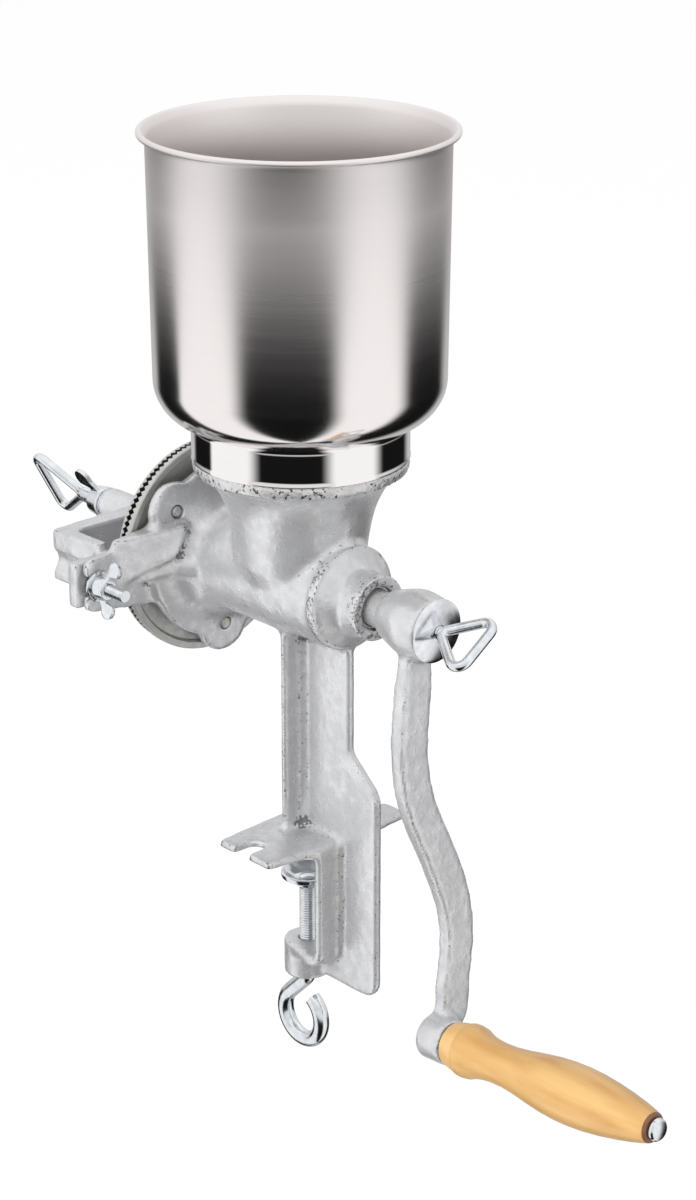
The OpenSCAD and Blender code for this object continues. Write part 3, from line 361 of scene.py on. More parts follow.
# Light is the tin skin and dark the grit in its pits and along its sharp edges; the extra dark specks in the
# creases are painted shade.
# Pits is the share of the grain that turns dark everywhere, and edges how strongly the creases (painted
# shade) and the sharp edges (grit) hold the dark.
def tinned_iron(name, light, dark, rough, pits, grain, fine=650, edges=1):
    finish, nodes, links, shader, place = new_finish(name, 0.66)
    clouds = noise(nodes, links, place, 32, 4)
    lumps = noise(nodes, links, place, 190, 6)
    specks = noise(nodes, links, place, fine, 5)
    shape = nodes.new("ShaderNodeNewGeometry").outputs["Pointiness"]
    mottle = combine(nodes, links, "ADD", combine(nodes, links, "MULTIPLY", clouds, 0.5),
                     combine(nodes, links, "MULTIPLY", lumps, 0.5))
    dull = tuple(c * 0.84 for c in light)
    skin = blend_colour(nodes, links, spread(nodes, links, mottle, 0.38, 0.6, 0, 1), dull, light)
    # Painted shade: creases, where shade falls, hold more dark specks.
    crease_shade = spread(nodes, links, shape, 0.492, 0.465, 0, 0.42 * edges)
    sharp = spread(nodes, links, shape, 0.52, 0.56, 0, 0.26 * edges)
    limit = combine(nodes, links, "ADD", combine(nodes, links, "ADD", crease_shade, sharp), pits)
    grit_and_crease_shade = spread(nodes, links, combine(nodes, links, "SUBTRACT", limit, specks), -0.04, 0.05, 0, 1)
    links.new(blend_colour(nodes, links, grit_and_crease_shade, skin, dark), shader.inputs["Base Color"])
    links.new(spread(nodes, links, lumps, 0.3, 0.7, rough + 0.12, rough - 0.08), shader.inputs["Roughness"])
    coarse = relief(nodes, links, lumps, grain, 0.8)
    links.new(relief(nodes, links, specks, grain * 0.8, 0.3, coarse), shader.inputs["Normal"])
    return finish


casting_skin = tinned_iron("tinned_iron", (0.94, 0.945, 0.965), (0.16, 0.16, 0.16), rough=0.30, pits=0.255,
                           grain=0.42, fine=800)
rough_rim = tinned_iron("rough_rim", (0.95, 0.95, 0.96), (0.06, 0.06, 0.06), rough=0.24, pits=0.43, grain=1,
                        fine=560, edges=0.3)

flange_front_x = -60
chamber_end_x = 24
nose_end_x = 52
nose_recess_x = 49.4
lip_z = 182.7
spigot_r = 46.5
jaw_z = -54.6
rib_root_y = 26
rib_ear_y = 60
rib_from_x = -62
ear_front_x = -57.2
body_casting = copy_of("cast_body", "body_casting")


# A plate with the given outline (across, up) stands out along X, and its front slopes back to the ear.
def cast_plate(name, outline, from_x, ear_x, end_x, side):
    plate = draw_line(name, [(from_x, side * y, z) for y, z in outline])
    bpy.ops.mesh.select_all(action="SELECT")
    bpy.ops.mesh.edge_face_add()
    bpy.ops.mesh.extrude_region_move(TRANSFORM_OT_translate={"value": ((end_x - from_x) / 1000, 0, 0)})
    bpy.ops.mesh.select_all(action="SELECT")
    slope = ((rib_ear_y - rib_root_y) / 1000, side * (end_x - ear_x) / 1000, 0)
    bpy.ops.mesh.bisect(plane_co=(end_x / 1000, side * rib_root_y / 1000, 0), plane_no=slope, use_fill=True,
                        clear_outer=True)
    return close_up(plate)


# Each arm runs on over the flange as a thick rib with a blunt end, and has a low curved rib under it.
arm_outline = [(61, 140.4), (26.5, 144.4), (33, 131), (49, 123), (61, 119)]
leaf_outline = [(50, 119), (42, 123.4), (33, 126.4), (24, 124), (13, 116.5), (15, 114.5), (24, 119.6),
                (33, 121.8), (42, 119.8)]
ribs = []
for side in (-1, 1):
    ribs.append(cast_plate("arm_rib", arm_outline, rib_from_x, ear_front_x, -45, side))
    ribs.append(cast_plate("leaf_rib", leaf_outline, rib_from_x, ear_front_x, -47.5, side))
body_casting = join_pieces("cast_body", [body_casting, *ribs])
sand_cast(body_casting, grain=1.2, fillet=1.5, rounds=1)


def weld_on(piece, parts):
    extra = join_pieces("extra", parts)
    apply_modifier(piece, "BOOLEAN", operation="UNION", object=extra, solver="EXACT")
    bpy.data.objects.remove(extra)


# The collar and the lip of the nose are turned true after casting, so their edges are crisp.
collar_x = 30.4
collar_r = 24.1
collar = turn_piece("collar", [
    (16, collar_x), (collar_r - 0.7, collar_x), (collar_r - 0.1, collar_x + 0.4), (collar_r, collar_x + 3.2),
    (collar_r - 0.4, collar_x + 4), (collar_r - 1.2, collar_x + 4.4), (16, collar_x + 4.4), (16, collar_x)])
lip_end_x = nose_end_x - 0.1
lip_r = 15
nose_lip = turn_piece("nose_lip", [
    (11, lip_end_x - 5.3), (lip_r - 0.7, lip_end_x - 5.3), (lip_r - 0.1, lip_end_x - 4.9),
    (lip_r, lip_end_x - 1.1), (lip_r - 0.3, lip_end_x - 0.4), (lip_r - 0.9, lip_end_x), (11, lip_end_x),
    (11, lip_end_x - 5.3)])
weld_on(body_casting, [collar, nose_lip])
shaft_bore = turn_piece("shaft_bore", [(0, chamber_end_x - 4), (8.8, chamber_end_x - 4), (8.8, nose_recess_x),
                                       (9.6, nose_recess_x), (10.4, nose_end_x + 1), (0, nose_end_x + 1)])
clamp_bore = turn_piece("clamp_bore", [(0, jaw_z - 21), (4.3, jaw_z - 21), (4.3, jaw_z + 4), (0, jaw_z + 4)],
                        along="Z", centre=(clamp_x, 0, 0))
hopper_seat = turn_piece("hopper_seat", [
    (spigot_r, lip_z), (54, lip_z), (54, lip_z + 8), (spigot_r, lip_z + 8), (spigot_r, lip_z)],
    along="Z", centre=(0, 0, 0))
still_pin_angles = (48.5, 180, 311.5)
still_pin_place_r = 37
pin_hole_outline = [(0, burr_face_x - 1), (3, burr_face_x - 1), (3, flange_front_x + 5),
                    (3.8, flange_front_x + 8), (0, flange_front_x + 8)]
pin_holes = []
for angle in still_pin_angles:
    side = still_pin_place_r * math.sin(math.radians(angle))
    up = still_pin_place_r * math.cos(math.radians(angle))
    pin_holes.append(turn_piece("pin_hole", pin_hole_outline, centre=(0, side, axis_z + up), steps=32))
cut_away(body_casting, [shaft_bore, clamp_bore, hopper_seat, *pin_holes])
place_piece(body_casting, "body_casting", "frame", casting_skin)
body_casting.data.materials.append(rough_rim)
rough_from_z = 177.6
rough_from_r = 45.5
for face in body_casting.data.polygons:
    out = math.hypot(face.center.x, face.center.y)
    if face.center.z > rough_from_z / 1000 and out > rough_from_r / 1000:
        face.material_index = 1

# The hopper is spun from stainless sheet: a tall bowl with a rolled bead at its rim, and a polished neck band
# that is pressed over the mouth of the casting. It is bright at the foot and turns to satin near the rim.
def satin_steel(name, colour, low_rough, high_rough, lines):
    finish, nodes, links, shader, place = new_finish(name, 1)
    shader.inputs["Anisotropic"].default_value = 0.45
    brush = noise(nodes, links, place, 1, 4, stretch=(10, 10, 1500))
    dull = tuple(c * 0.95 for c in colour)
    links.new(blend_colour(nodes, links, brush, dull, colour), shader.inputs["Base Color"])
    spot = nodes.new("ShaderNodeSeparateXYZ")
    links.new(place.outputs["Object"], spot.inputs[0])
    satin = spread(nodes, links, spot.outputs["Z"], 0.225, 0.315, low_rough, high_rough)
    lines_rough = combine(nodes, links, "MULTIPLY", brush, 0.05)
    links.new(combine(nodes, links, "ADD", satin, lines_rough), shader.inputs["Roughness"])
    links.new(relief(nodes, links, brush, lines, 0.03), shader.inputs["Normal"])
    return finish


sheet = 0.8
neck_z = lip_z + seat_gap
neck_r = 48.7
shoulder_z = neck_z + 17
round_r = 20.5
wall_low_r = 65
wall_top_r = 66.2
rim_z = 328.4
bead_r = 1.4
bead_middle_r = 68.6
round_middle_r = wall_low_r - round_r
neck_turn = math.degrees(math.acos((neck_r - round_middle_r) / round_r))
round_middle_z = shoulder_z + round_r * math.sin(math.radians(neck_turn))
neck_in_r = neck_r - sheet
neck_fold_r = neck_r - 3.9
bowl_outline = (
    [(neck_fold_r, neck_z + 0.2), (neck_in_r - 0.2, neck_z + 0.2), (neck_in_r, neck_z + 1),
     (neck_in_r, shoulder_z - 0.4)]
    + round_part(round_middle_r, round_middle_z, round_r - sheet, -neck_turn + 1, 0, 14)
    + [(wall_low_r, rim_z - 28), (wall_top_r - sheet, rim_z - 3), (bead_middle_r - 2.2, rim_z - 0.8)]
    + round_part(bead_middle_r, rim_z, bead_r, 160, -150, 14)
    + [(wall_top_r + 0.5, rim_z - 1.9), (wall_top_r, rim_z - 3.8), (wall_top_r - 0.28, rim_z - 28)]
    + round_part(round_middle_r, round_middle_z, round_r, 0, -neck_turn + 1, 14)
    + [(neck_r - 0.1, shoulder_z - 1.2), (neck_r, shoulder_z - 1.8), (neck_r, shoulder_z - 2.6),
       (neck_r, neck_z + 2.6), (neck_r, neck_z + 1.8), (neck_r + 0.2, neck_z + 1),
       (neck_r + 0.2, neck_z + 0.3), (neck_r - 0.1, neck_z), (neck_fold_r, neck_z),
       (neck_fold_r, neck_z + 0.2)])
hopper_bowl = turn_piece("spun_hopper", bowl_outline, along="Z", centre=(0, 0, 0), steps=160)
hopper_steel = satin_steel("satin_steel", (0.86, 0.82, 0.81), low_rough=0.10, high_rough=0.38, lines=0.05)
neck_polish = satin_steel("polished_neck", (0.88, 0.86, 0.85), low_rough=0.03, high_rough=0.03, lines=0.03)
place_piece(hopper_bowl, "hopper_bowl", "hopper", hopper_steel)
hopper_bowl.data.materials.append(neck_polish)
for face in hopper_bowl.data.polygons:
    out = math.hypot(face.center.x, face.center.y)
    if face.center.z < (shoulder_z - 0.3) / 1000 and out > (neck_r - 0.5) / 1000:
        face.material_index = 1

# The burrs are two hardened iron discs with radial teeth that reach their rims. The stationary burr sits on
# three pins in the flange, and the rotating one is pinned to a cast carrier on the auger.
teeth = 110
tooth_h = 1.7
still_r = 50.8
turning_r = 50
still_cut_x = burr_face_x - 2.4
turning_cut_x = still_cut_x - 0.9
turning_back_x = turning_cut_x - 3.2


def cut_teeth(burr, cut_x, deep):
    work_on(burr)
    bpy.ops.object.mode_set(mode="EDIT")
    bpy.ops.mesh.select_all(action="DESELECT")
    bpy.ops.object.mode_set(mode="OBJECT")
    for spot in burr.data.vertices:
        y, z = spot.co.y * 1000, spot.co.z * 1000 - axis_z
        step = math.atan2(y, z) / math.pi * teeth
        if abs(spot.co.x * 1000 - cut_x) < 0.6 and math.hypot(y, z) > 40 and round(step) % 2:
            spot.select = True
    bpy.ops.object.mode_set(mode="EDIT")
    bpy.ops.transform.translate(value=(deep / 1000, 0, 0))
    bpy.ops.object.mode_set(mode="OBJECT")
    bpy.ops.object.shade_smooth_by_angle(angle=math.radians(12))


# The ground between the teeth is painted near-black: painted shade in the narrow gap between the two burrs.
def darken_teeth(burr, cut_x):
    burr.data.materials.append(tooth_shade)
    for face in burr.data.polygons:
        out = math.hypot(face.center.y * 1000, face.center.z * 1000 - axis_z)
        if abs(face.center.x * 1000 - cut_x) < 1.8 and out > 40 and abs(face.normal.x) > 0.2:
            face.material_index = 1


burr_iron = tinned_iron("burr_iron", (0.78, 0.78, 0.75), (0.16, 0.16, 0.15), rough=0.36, pits=0.33, grain=0.7,
                        fine=600, edges=0)
tooth_shade = tinned_iron("tooth_shade", (0.07, 0.07, 0.07), (0.02, 0.02, 0.02), rough=0.6, pits=0.3,
                          grain=0.5, edges=0)
stationary_burr = turn_piece("still_burr", [
    (20, still_cut_x), (26, still_cut_x), (46.8, still_cut_x), (still_r - 0.3, still_cut_x),
    (still_r, still_cut_x + 0.4), (still_r, burr_face_x + 1.2), (still_r - 0.5, burr_face_x + 1.6),
    (still_r - 3.2, burr_face_x + 1.6), (still_r - 3.9, burr_face_x + 0.9),
    (still_r - 4.4, burr_face_x - 0.1), (20, burr_face_x - 0.1), (20, still_cut_x)], steps=teeth * 2)
cut_teeth(stationary_burr, still_cut_x, tooth_h)
place_piece(stationary_burr, "stationary_burr", "frame", burr_iron)
darken_teeth(stationary_burr, still_cut_x)
rotating_burr = turn_piece("turning_burr", [
    (13.1, turning_cut_x), (26, turning_cut_x), (46, turning_cut_x), (turning_r - 0.3, turning_cut_x),
    (turning_r, turning_cut_x - 0.4), (turning_r, turning_back_x + 0.5), (turning_r - 0.5, turning_back_x),
    (13.1, turning_back_x), (13.1, turning_cut_x)], steps=teeth * 2)
cut_teeth(rotating_burr, turning_cut_x, -tooth_h)
place_piece(rotating_burr, "rotating_burr", "rotor", burr_iron)
darken_teeth(rotating_burr, turning_cut_x)

burr_carrier = copy_of("cast_carrier", "burr_carrier")
sand_cast(burr_carrier, grain=0.8, fillet=0.8, rounds=2, ripple_h=0.2)
place_piece(burr_carrier, "burr_carrier", "rotor", casting_skin)

# Pins, washers, bolts and screws are turned or bent from mild steel and zinc plated: bright, a little blue,
# and with fine streaks.
def zinc_plate(name, colour, rough):
    finish, nodes, links, shader, place = new_finish(name, 1)
    streaks = noise(nodes, links, place, 260, 4)
    dull = tuple(c * 0.8 for c in colour)
    patches = spread(nodes, links, streaks, 0.3, 0.7, 0, 1)
    links.new(blend_colour(nodes, links, patches, dull, colour), shader.inputs["Base Color"])
    links.new(spread(nodes, links, streaks, 0, 1, rough - 0.06, rough + 0.12), shader.inputs["Roughness"])
    links.new(relief(nodes, links, streaks, 0.12, 0.2), shader.inputs["Normal"])
    return finish


bright_zinc = zinc_plate("bright_zinc", (0.82, 0.85, 0.88), 0.15)


def pin_set(name, angles, place_r, from_x, to_x):
    outline = [(0, from_x), (2.2, from_x), (2.6, from_x + 0.4), (2.6, to_x - 0.6), (1.9, to_x), (0, to_x)]
    pins = []
    for angle in angles:
        side, up = place_r * math.sin(math.radians(angle)), place_r * math.cos(math.radians(angle))
        pins.append(turn_piece(name, outline, centre=(0, side, axis_z + up), steps=32))
    return join_pieces(name, pins)


still_pins = pin_set("still_burr_pins", still_pin_angles, still_pin_place_r, still_cut_x + 1,
                     flange_front_x + 6.5)
place_piece(still_pins, "stationary_burr_pins", "frame", burr_iron)
turning_pins = pin_set("turning_burr_pins", (0, 120, 240), 31, turning_back_x - 4, turning_cut_x - 1)
place_piece(turning_pins, "rotating_burr_pins", "rotor", bright_zinc)
cross_pin_x = turning_back_x - 6.5
cross_pin_low, cross_pin_top = axis_z - 15, axis_z + 15
cross_pin = turn_piece("cross_pin", [
    (0, cross_pin_low), (1.6, cross_pin_low), (2, cross_pin_low + 0.4), (2, cross_pin_top - 0.4),
    (1.6, cross_pin_top), (0, cross_pin_top)], along="Z", centre=(cross_pin_x, 0, 0), steps=32)
place_piece(cross_pin, "carrier_pin", "rotor", bright_zinc)
ball_x = turning_back_x - 14.4
thrust_ball = turn_piece("steel_ball", [(r, x) for x, r in round_part(ball_x, 0, 4, 180, 0, 24)], steps=48)
place_piece(thrust_ball, "thrust_ball", "thrust", bright_zinc)


# A rod with a rolled thread, from low to high along its axis.
def threaded_rod(name, r, pitch, low, high, along="X", centre=(0, 0, axis_z)):
    root_r = r - pitch * 0.5
    start = low - pitch * 1.5
    tooth = [(root_r, 0, start), (r - 0.05, 0, start + pitch * 0.38), (r, 0, start + pitch * 0.5),
             (r - 0.05, 0, start + pitch * 0.62), (root_r, 0, start + pitch)]
    piece = draw_line(name, tooth)
    bpy.ops.object.mode_set(mode="OBJECT")
    at_place(piece, Vector(tooth[0]))
    piece.location = (0, 0, 0)
    turns = int((high - low) / pitch) + 4
    apply_modifier(piece, "SCREW", axis="Z", angle=2 * math.pi, screw_offset=pitch / 1000, iterations=turns,
                   steps=24, render_steps=24)
    bpy.ops.object.mode_set(mode="EDIT")
    bpy.ops.mesh.select_all(action="SELECT")
    bpy.ops.mesh.remove_doubles(threshold=0.000002)
    for cut_z, up in ((low, -1), (high, 1)):
        bpy.ops.mesh.select_all(action="SELECT")
        bpy.ops.mesh.bisect(plane_co=(0, 0, cut_z / 1000), plane_no=(0, 0, up), use_fill=True,
                            clear_outer=True)
    close_up(piece, 40)
    return at_place(piece, centre, (0, math.pi / 2, 0) if along == "X" else (0, 0, 0))


# The yoke is a cast bridge that two bolts draw against the ears; its long boss carries the adjusting screw.
ear_face_x = -61.6
lug_back_x = ear_face_x - seat_gap - 6.4
yoke_face_x = -92
yoke_end_x = -140
yoke = copy_of("cast_yoke", "yoke")
sand_cast(yoke, grain=0.9, fillet=1.1, rounds=1, ripple_h=0.3)
screw_hole_r = 4.2
bolt_hole_r = 3.2
screw_bore = [(0, yoke_end_x - 2), (screw_hole_r, yoke_end_x - 2), (screw_hole_r, yoke_face_x + 8),
              (0, yoke_face_x + 8)]
bolt_bore = [(0, lug_back_x - 4), (bolt_hole_r, lug_back_x - 4), (bolt_hole_r, ear_face_x + 1),
             (0, ear_face_x + 1)]
cutters = [turn_piece("screw_bore", screw_bore)]
for y in (-bolt_y, bolt_y):
    cutters.append(turn_piece("bolt_bore", bolt_bore, centre=(0, y, bolt_z)))
cut_away(yoke, cutters)
place_piece(yoke, "yoke", "frame", casting_skin)

bolt_end_x = -37.7
bolt_shank = threaded_rod("bolt_thread", r=2.9, pitch=1, low=lug_back_x - 2, high=bolt_end_x,
                          centre=(0, -bolt_y, bolt_z))
head_h = 4.3
bolt_head = turn_piece("bolt_head", [
    (0, lug_back_x - head_h), (5, lug_back_x - head_h), (5.8, lug_back_x - head_h + 0.7), (5.8, lug_back_x),
    (0, lug_back_x)], centre=(0, -bolt_y, bolt_z), steps=6)
near_bolt = join_pieces("yoke_bolt_pair", [bolt_head, bolt_shank])
far_bolt = near_bolt.copy()
far_bolt.data = near_bolt.data.copy()
bpy.context.scene.collection.objects.link(far_bolt)
at_place(far_bolt, (0, bolt_y * 2, 0))
yoke_bolts = join_pieces("yoke_bolt_pair", [near_bolt, far_bolt])
place_piece(yoke_bolts, "yoke_bolts", "frame", bright_zinc)


washer_t = 1.4


def plain_washer(name, hole_r, face_x, centre):
    outline = [(hole_r, face_x), (6.9, face_x), (7.2, face_x + 0.3), (7.2, face_x + washer_t - 0.3),
               (6.9, face_x + washer_t), (hole_r, face_x + washer_t), (hole_r, face_x)]
    return turn_piece(name, outline, centre=centre, steps=64)


washer_x = ear_face_x + 4.4 + seat_gap
for side, y in (("near", -bolt_y), ("far", bolt_y)):
    washer = plain_washer(side + "_washer", bolt_hole_r, washer_x, (0, y, bolt_z))
    place_piece(washer, "yoke_washer_" + side, side + "_washer", bright_zinc)
lock_washer_x = yoke_end_x - seat_gap - washer_t
lock_washer = plain_washer("screw_washer", screw_hole_r, lock_washer_x, (0, 0, axis_z))
place_piece(lock_washer, "lock_washer", "lock_washer", bright_zinc)


# A wing nut is pressed hot from steel: a round hub with two flat wings that flare out and away from its foot.
def wing_nut(name, hole_r, size, place, turns):
    hub_h, hub_r, reach = 6.6 * size, 5.6 * size, 13 * size
    tip_r = hub_r * 0.72
    tip_x = hub_h + tip_r / 3
    outline = ([(hub_h / 6, hub_r / 3), (hub_h / 6, hub_r), (hub_h * 0.6, reach - tip_r)]
               + round_part(tip_x, reach - tip_r, tip_r, 150, -40, 12)
               + [(hub_h * 0.9, hub_r), (hub_h * 0.9, hub_r / 3)])
    wings = []
    for side in (1, -1):
        wing = draw_line("wing", [(x, side * y, -1.1) for x, y in outline])
        bpy.ops.mesh.select_all(action="SELECT")
        bpy.ops.mesh.edge_face_add()
        bpy.ops.mesh.extrude_region_move(TRANSFORM_OT_translate={"value": (0, 0, 0.0022)})
        wings.append(close_up(wing))
    hub_outline = [(0, 0), (hub_r, 0), (hub_r, hub_h / 6), (hub_r * 0.86, hub_h), (0, hub_h)]
    hub = turn_piece("hub", hub_outline, centre=(0, 0, 0), steps=48)
    nut = join_pieces(name, [hub, *wings])
    apply_modifier(nut, "REMESH", mode="VOXEL", voxel_size=0.0003)
    apply_modifier(nut, "SMOOTH", factor=0.5, iterations=8)
    bore_outline = [(0, -2), (hole_r, -2), (hole_r, hub_h + 6), (0, hub_h + 6)]
    cut_away(nut, [turn_piece("bore", bore_outline, centre=(0, 0, 0), steps=48)])
    return at_place(nut, place, turns)


nut_x = washer_x + washer_t + seat_gap
near_nut = wing_nut("near_wing_nut", hole_r=3.1, size=1, place=(nut_x, -bolt_y, bolt_z),
                    turns=(math.radians(76), 0, 0))
place_piece(near_nut, "yoke_wing_nut_near", "near_nut", bright_zinc)
far_nut = wing_nut("far_wing_nut", hole_r=3.1, size=1, place=(nut_x, bolt_y, bolt_z),
                   turns=(math.radians(100), 0, 0))
place_piece(far_nut, "yoke_wing_nut_far", "far_nut", bright_zinc)
lock_nut = wing_nut("screw_wing_nut", hole_r=4.1, size=1.4, place=(lock_washer_x - seat_gap, 0, axis_z),
                    turns=(math.radians(-118), 0, math.pi))
place_piece(lock_nut, "lock_wing_nut", "lock_nut", bright_zinc)


loop_rod_r = 2.3


# Bends a round rod in the XY plane. Moves are straight lengths, or turns of a radius by an angle to the left.
def bent_rod(name, r, start, heading, moves, closed):
    spot, way = Vector((*start, 0)) / 1000, math.radians(heading)
    clear_selection()
    bpy.ops.mesh.primitive_circle_add(vertices=24, radius=r / 1000, fill_type="NOTHING", location=spot,
                                      rotation=(0, math.pi / 2, way))
    piece = bpy.context.object
    piece.name = name
    bpy.ops.object.mode_set(mode="EDIT")
    bpy.ops.mesh.select_all(action="SELECT")
    for move in moves:
        if len(move) == 1:
            ahead = Vector((math.cos(way), math.sin(way), 0)) * move[0] / 1000
            bpy.ops.mesh.extrude_region_move(TRANSFORM_OT_translate={"value": ahead})
            spot = spot + ahead
        else:
            bend_r, angle = move
            left = math.copysign(bend_r / 1000, angle)
            middle = spot + Vector((-math.sin(way), math.cos(way), 0)) * left
            steps = max(4, int(abs(angle) / 8))
            bpy.ops.mesh.spin(steps=steps, angle=-math.radians(angle), center=middle, axis=(0, 0, 1))
            way += math.radians(angle)
            spot = middle - Vector((-math.sin(way), math.cos(way), 0)) * left
    if not closed:
        bpy.ops.mesh.select_all(action="SELECT")
        bpy.ops.mesh.fill_holes(sides=24)
    return close_up(piece, 40)


# The loop of a screw: one rod bent to a rounded triangle with its point at the screw.
def rod_loop(name, depth, half, root_r, bend_r):
    lean = math.degrees(math.atan2(half, depth))
    root_turn, far_turn = 180 - 2 * lean, 90 + lean
    root_cut = root_r * math.tan(math.radians(root_turn / 2))
    far_cut = bend_r * math.tan(math.radians(far_turn / 2))
    limb = math.hypot(depth, half) - root_cut - far_cut
    moves = [(half - far_cut,), (bend_r, -far_turn), (limb,), (root_r, -root_turn), (limb,),
             (bend_r, -far_turn), (half - far_cut,)]
    return bent_rod(name, loop_rod_r, (depth, 0), -90, moves, True)


loop_root_x = -160.5
screw_tip_x = -89.4
adjust_loop = rod_loop("adjust_loop", depth=28.95, half=20.4, root_r=3.45, bend_r=4.4)
at_place(adjust_loop, (loop_root_x, 0, axis_z), (math.radians(-119), 0, math.pi))
adjust_rod = threaded_rod("adjust_rod", r=3.9, pitch=1.25, low=loop_root_x + 0.5, high=screw_tip_x - 1)
adjust_ends = turn_piece("adjust_ends", [
    (0, loop_root_x - 3.4), (2.2, loop_root_x - 3), (3.3, loop_root_x - 1), (3.3, screw_tip_x - 1.5),
    (2.4, screw_tip_x), (0, screw_tip_x)], steps=48)
adjusting_screw = join_pieces("adjusting_screw_loop", [adjust_loop, adjust_rod, adjust_ends])
place_piece(adjusting_screw, "adjusting_screw", "adjuster", bright_zinc)

# The auger is cast with its shaft: a coarse worm in the barrel, a turned journal that shows between the nose
# and the crank's hub, and a burr end that takes the carrier.
worm_from_x = burr_face_x + 0.9
worm_l = chamber_end_x - 1.6 - worm_from_x - 0.9
worm_pitch = 24
worm_root_r = 6.8
worm_r = 17.6
shaft_end_x = 80.6
journal_r = 8.5
shaft = turn_piece("shaft", [
    (0, ball_x + 4.1), (2.9, ball_x + 2.9), (3.7, ball_x + 2), (7.2, ball_x + 2), (7.5, ball_x + 2.4),
    (7.5, burr_face_x), (journal_r, burr_face_x + 0.4), (journal_r, shaft_end_x - 0.5),
    (journal_r - 0.5, shaft_end_x), (0, shaft_end_x)])
worm = draw_line("worm", [
    (0, 0, worm_root_r), (-1.7, 0, worm_root_r), (-0.95, 0, worm_r - 0.7), (-0.45, 0, worm_r),
    (0.45, 0, worm_r), (0.95, 0, worm_r - 0.7), (1.7, 0, worm_root_r), (0, 0, worm_root_r)])
bpy.ops.object.mode_set(mode="OBJECT")
at_place(worm, (0, 0, worm_root_r))
apply_modifier(worm, "SCREW", axis="X", angle=2 * math.pi * worm_l / worm_pitch, screw_offset=worm_l / 1000,
               iterations=1, steps=200, render_steps=200)
bpy.ops.object.mode_set(mode="EDIT")
bpy.ops.mesh.select_all(action="SELECT")
bpy.ops.mesh.remove_doubles(threshold=0.000002)
bpy.ops.mesh.fill_holes(sides=12)
close_up(worm, 40)
at_place(worm, (worm_from_x, 0, axis_z))
auger = join_pieces("cast_auger", [shaft, worm])
journal_skin = tinned_iron("turned_journal", (0.88, 0.88, 0.88), (0.22, 0.22, 0.22), rough=0.28, pits=0.36,
                           grain=0.6, fine=700, edges=0)
place_piece(auger, "auger", "rotor", journal_skin)

# The crank is a second casting: a barrel-shaped hub, an S-shaped arm and the boss of the handle.
crank = copy_of("cast_crank", "crank")
sand_cast(crank, grain=0.9, fillet=1.4, rounds=2, ripple_h=0.08)


# Raises a piece along its normals, or moves it along an axis, by a share that varies with the height in mm.
def push_by_height(piece, amounts, direction, strength):
    group = piece.vertex_groups.new(name="push")
    for spot in piece.data.vertices:
        height = spot.co.z * 1000
        for (low, first), (high, last) in zip(amounts, amounts[1:]):
            if low <= height < high:
                t = (height - low) / (high - low)
                t = t * t * (3 - 2 * t)
                group.add([spot.index], first + (last - first) * t, "REPLACE")
    apply_modifier(piece, "DISPLACE", vertex_group="push", direction=direction, strength=strength / 1000,
                   mid_level=0)
    piece.vertex_groups.clear()


push_by_height(crank, [(-64, 0), (-50, 0.3), (-15, 0.5), (25, 1), (95, 1), (106, 0)], "NORMAL", 0.9)
push_by_height(crank, [(-66, 0), (-46, 1), (-22, 0.8), (16, 0)], "Y", -3.6)
place_piece(crank, "crank", "rotor", casting_skin)

dome_x = crank_face_x + seat_gap
dome_h = 2.5
crank_washer = turn_piece("domed_washer", [
    (3.2, dome_x + 0.9), (12.6, dome_x + 0.9), (12.8, dome_x + 0.4), (14.2, dome_x + 0.4),
    (14.4, dome_x + 0.6), (13.8, dome_x + 0.95), (12.6, dome_x + 1.3), (11, dome_x + 1.68), (9.2, dome_x + 2),
    (7.4, dome_x + 2.22), (5.4, dome_x + 2.4), (3.2, dome_x + dome_h), (3.2, dome_x + 0.9)], angle=50)
dome_polish = zinc_plate("polished_dome", (0.86, 0.87, 0.90), 0.15)
place_piece(crank_washer, "crank_washer", "crank_washer", dome_polish)
thumb_root_x = dome_x + dome_h
thumb_loop = rod_loop("thumb_loop", depth=24, half=16.6, root_r=3.45, bend_r=4.6)
at_place(thumb_loop, (thumb_root_x, 0, axis_z), (math.radians(35), 0, 0))
thumb_rod = threaded_rod("thumb_rod", r=2.95, pitch=1, low=crank_face_x - 14, high=thumb_root_x + 1)
thumb_neck = turn_piece("thumb_neck", [
    (0, crank_face_x), (2.6, crank_face_x), (2.6, thumb_root_x + 1.5), (1.8, thumb_root_x + 3),
    (0, thumb_root_x + 3.4)], steps=48)
thumb_screw = join_pieces("thumb_screw_loop", [thumb_loop, thumb_rod, thumb_neck])
place_piece(thumb_screw, "crank_thumbscrew", "thumb_screw", bright_zinc)

# The handle is turned from pale hardwood and varnished. It runs loose on a bolt with a domed, plated head.
def varnished_wood(name, pale, deep):
    finish, nodes, links, shader, place = new_finish(name, 0)
    grain = noise(nodes, links, place, 1.6, 5, stretch=(6, 95, 95), turns=(0, crank_lean, 0))
    mottle = noise(nodes, links, place, 60, 3, stretch=(0.5, 1, 1), turns=(0, crank_lean, 0))
    wood = blend_colour(nodes, links, spread(nodes, links, grain, 0.3, 0.7, 0, 1), deep, pale)
    # The pale mottle blended over the grain is a painted highlight, a mottled sheen in the colour.
    painted_sheen_share = spread(nodes, links, mottle, 0.4, 0.65, 0, 0.55)
    links.new(blend_colour(nodes, links, painted_sheen_share, wood, pale), shader.inputs["Base Color"])
    shader.inputs["Roughness"].default_value = 0.4
    shader.inputs["Coat Weight"].default_value = 0.3
    shader.inputs["Coat Roughness"].default_value = 0.2
    links.new(relief(nodes, links, grain, 0.08, 0.3), shader.inputs["Normal"])
    return finish


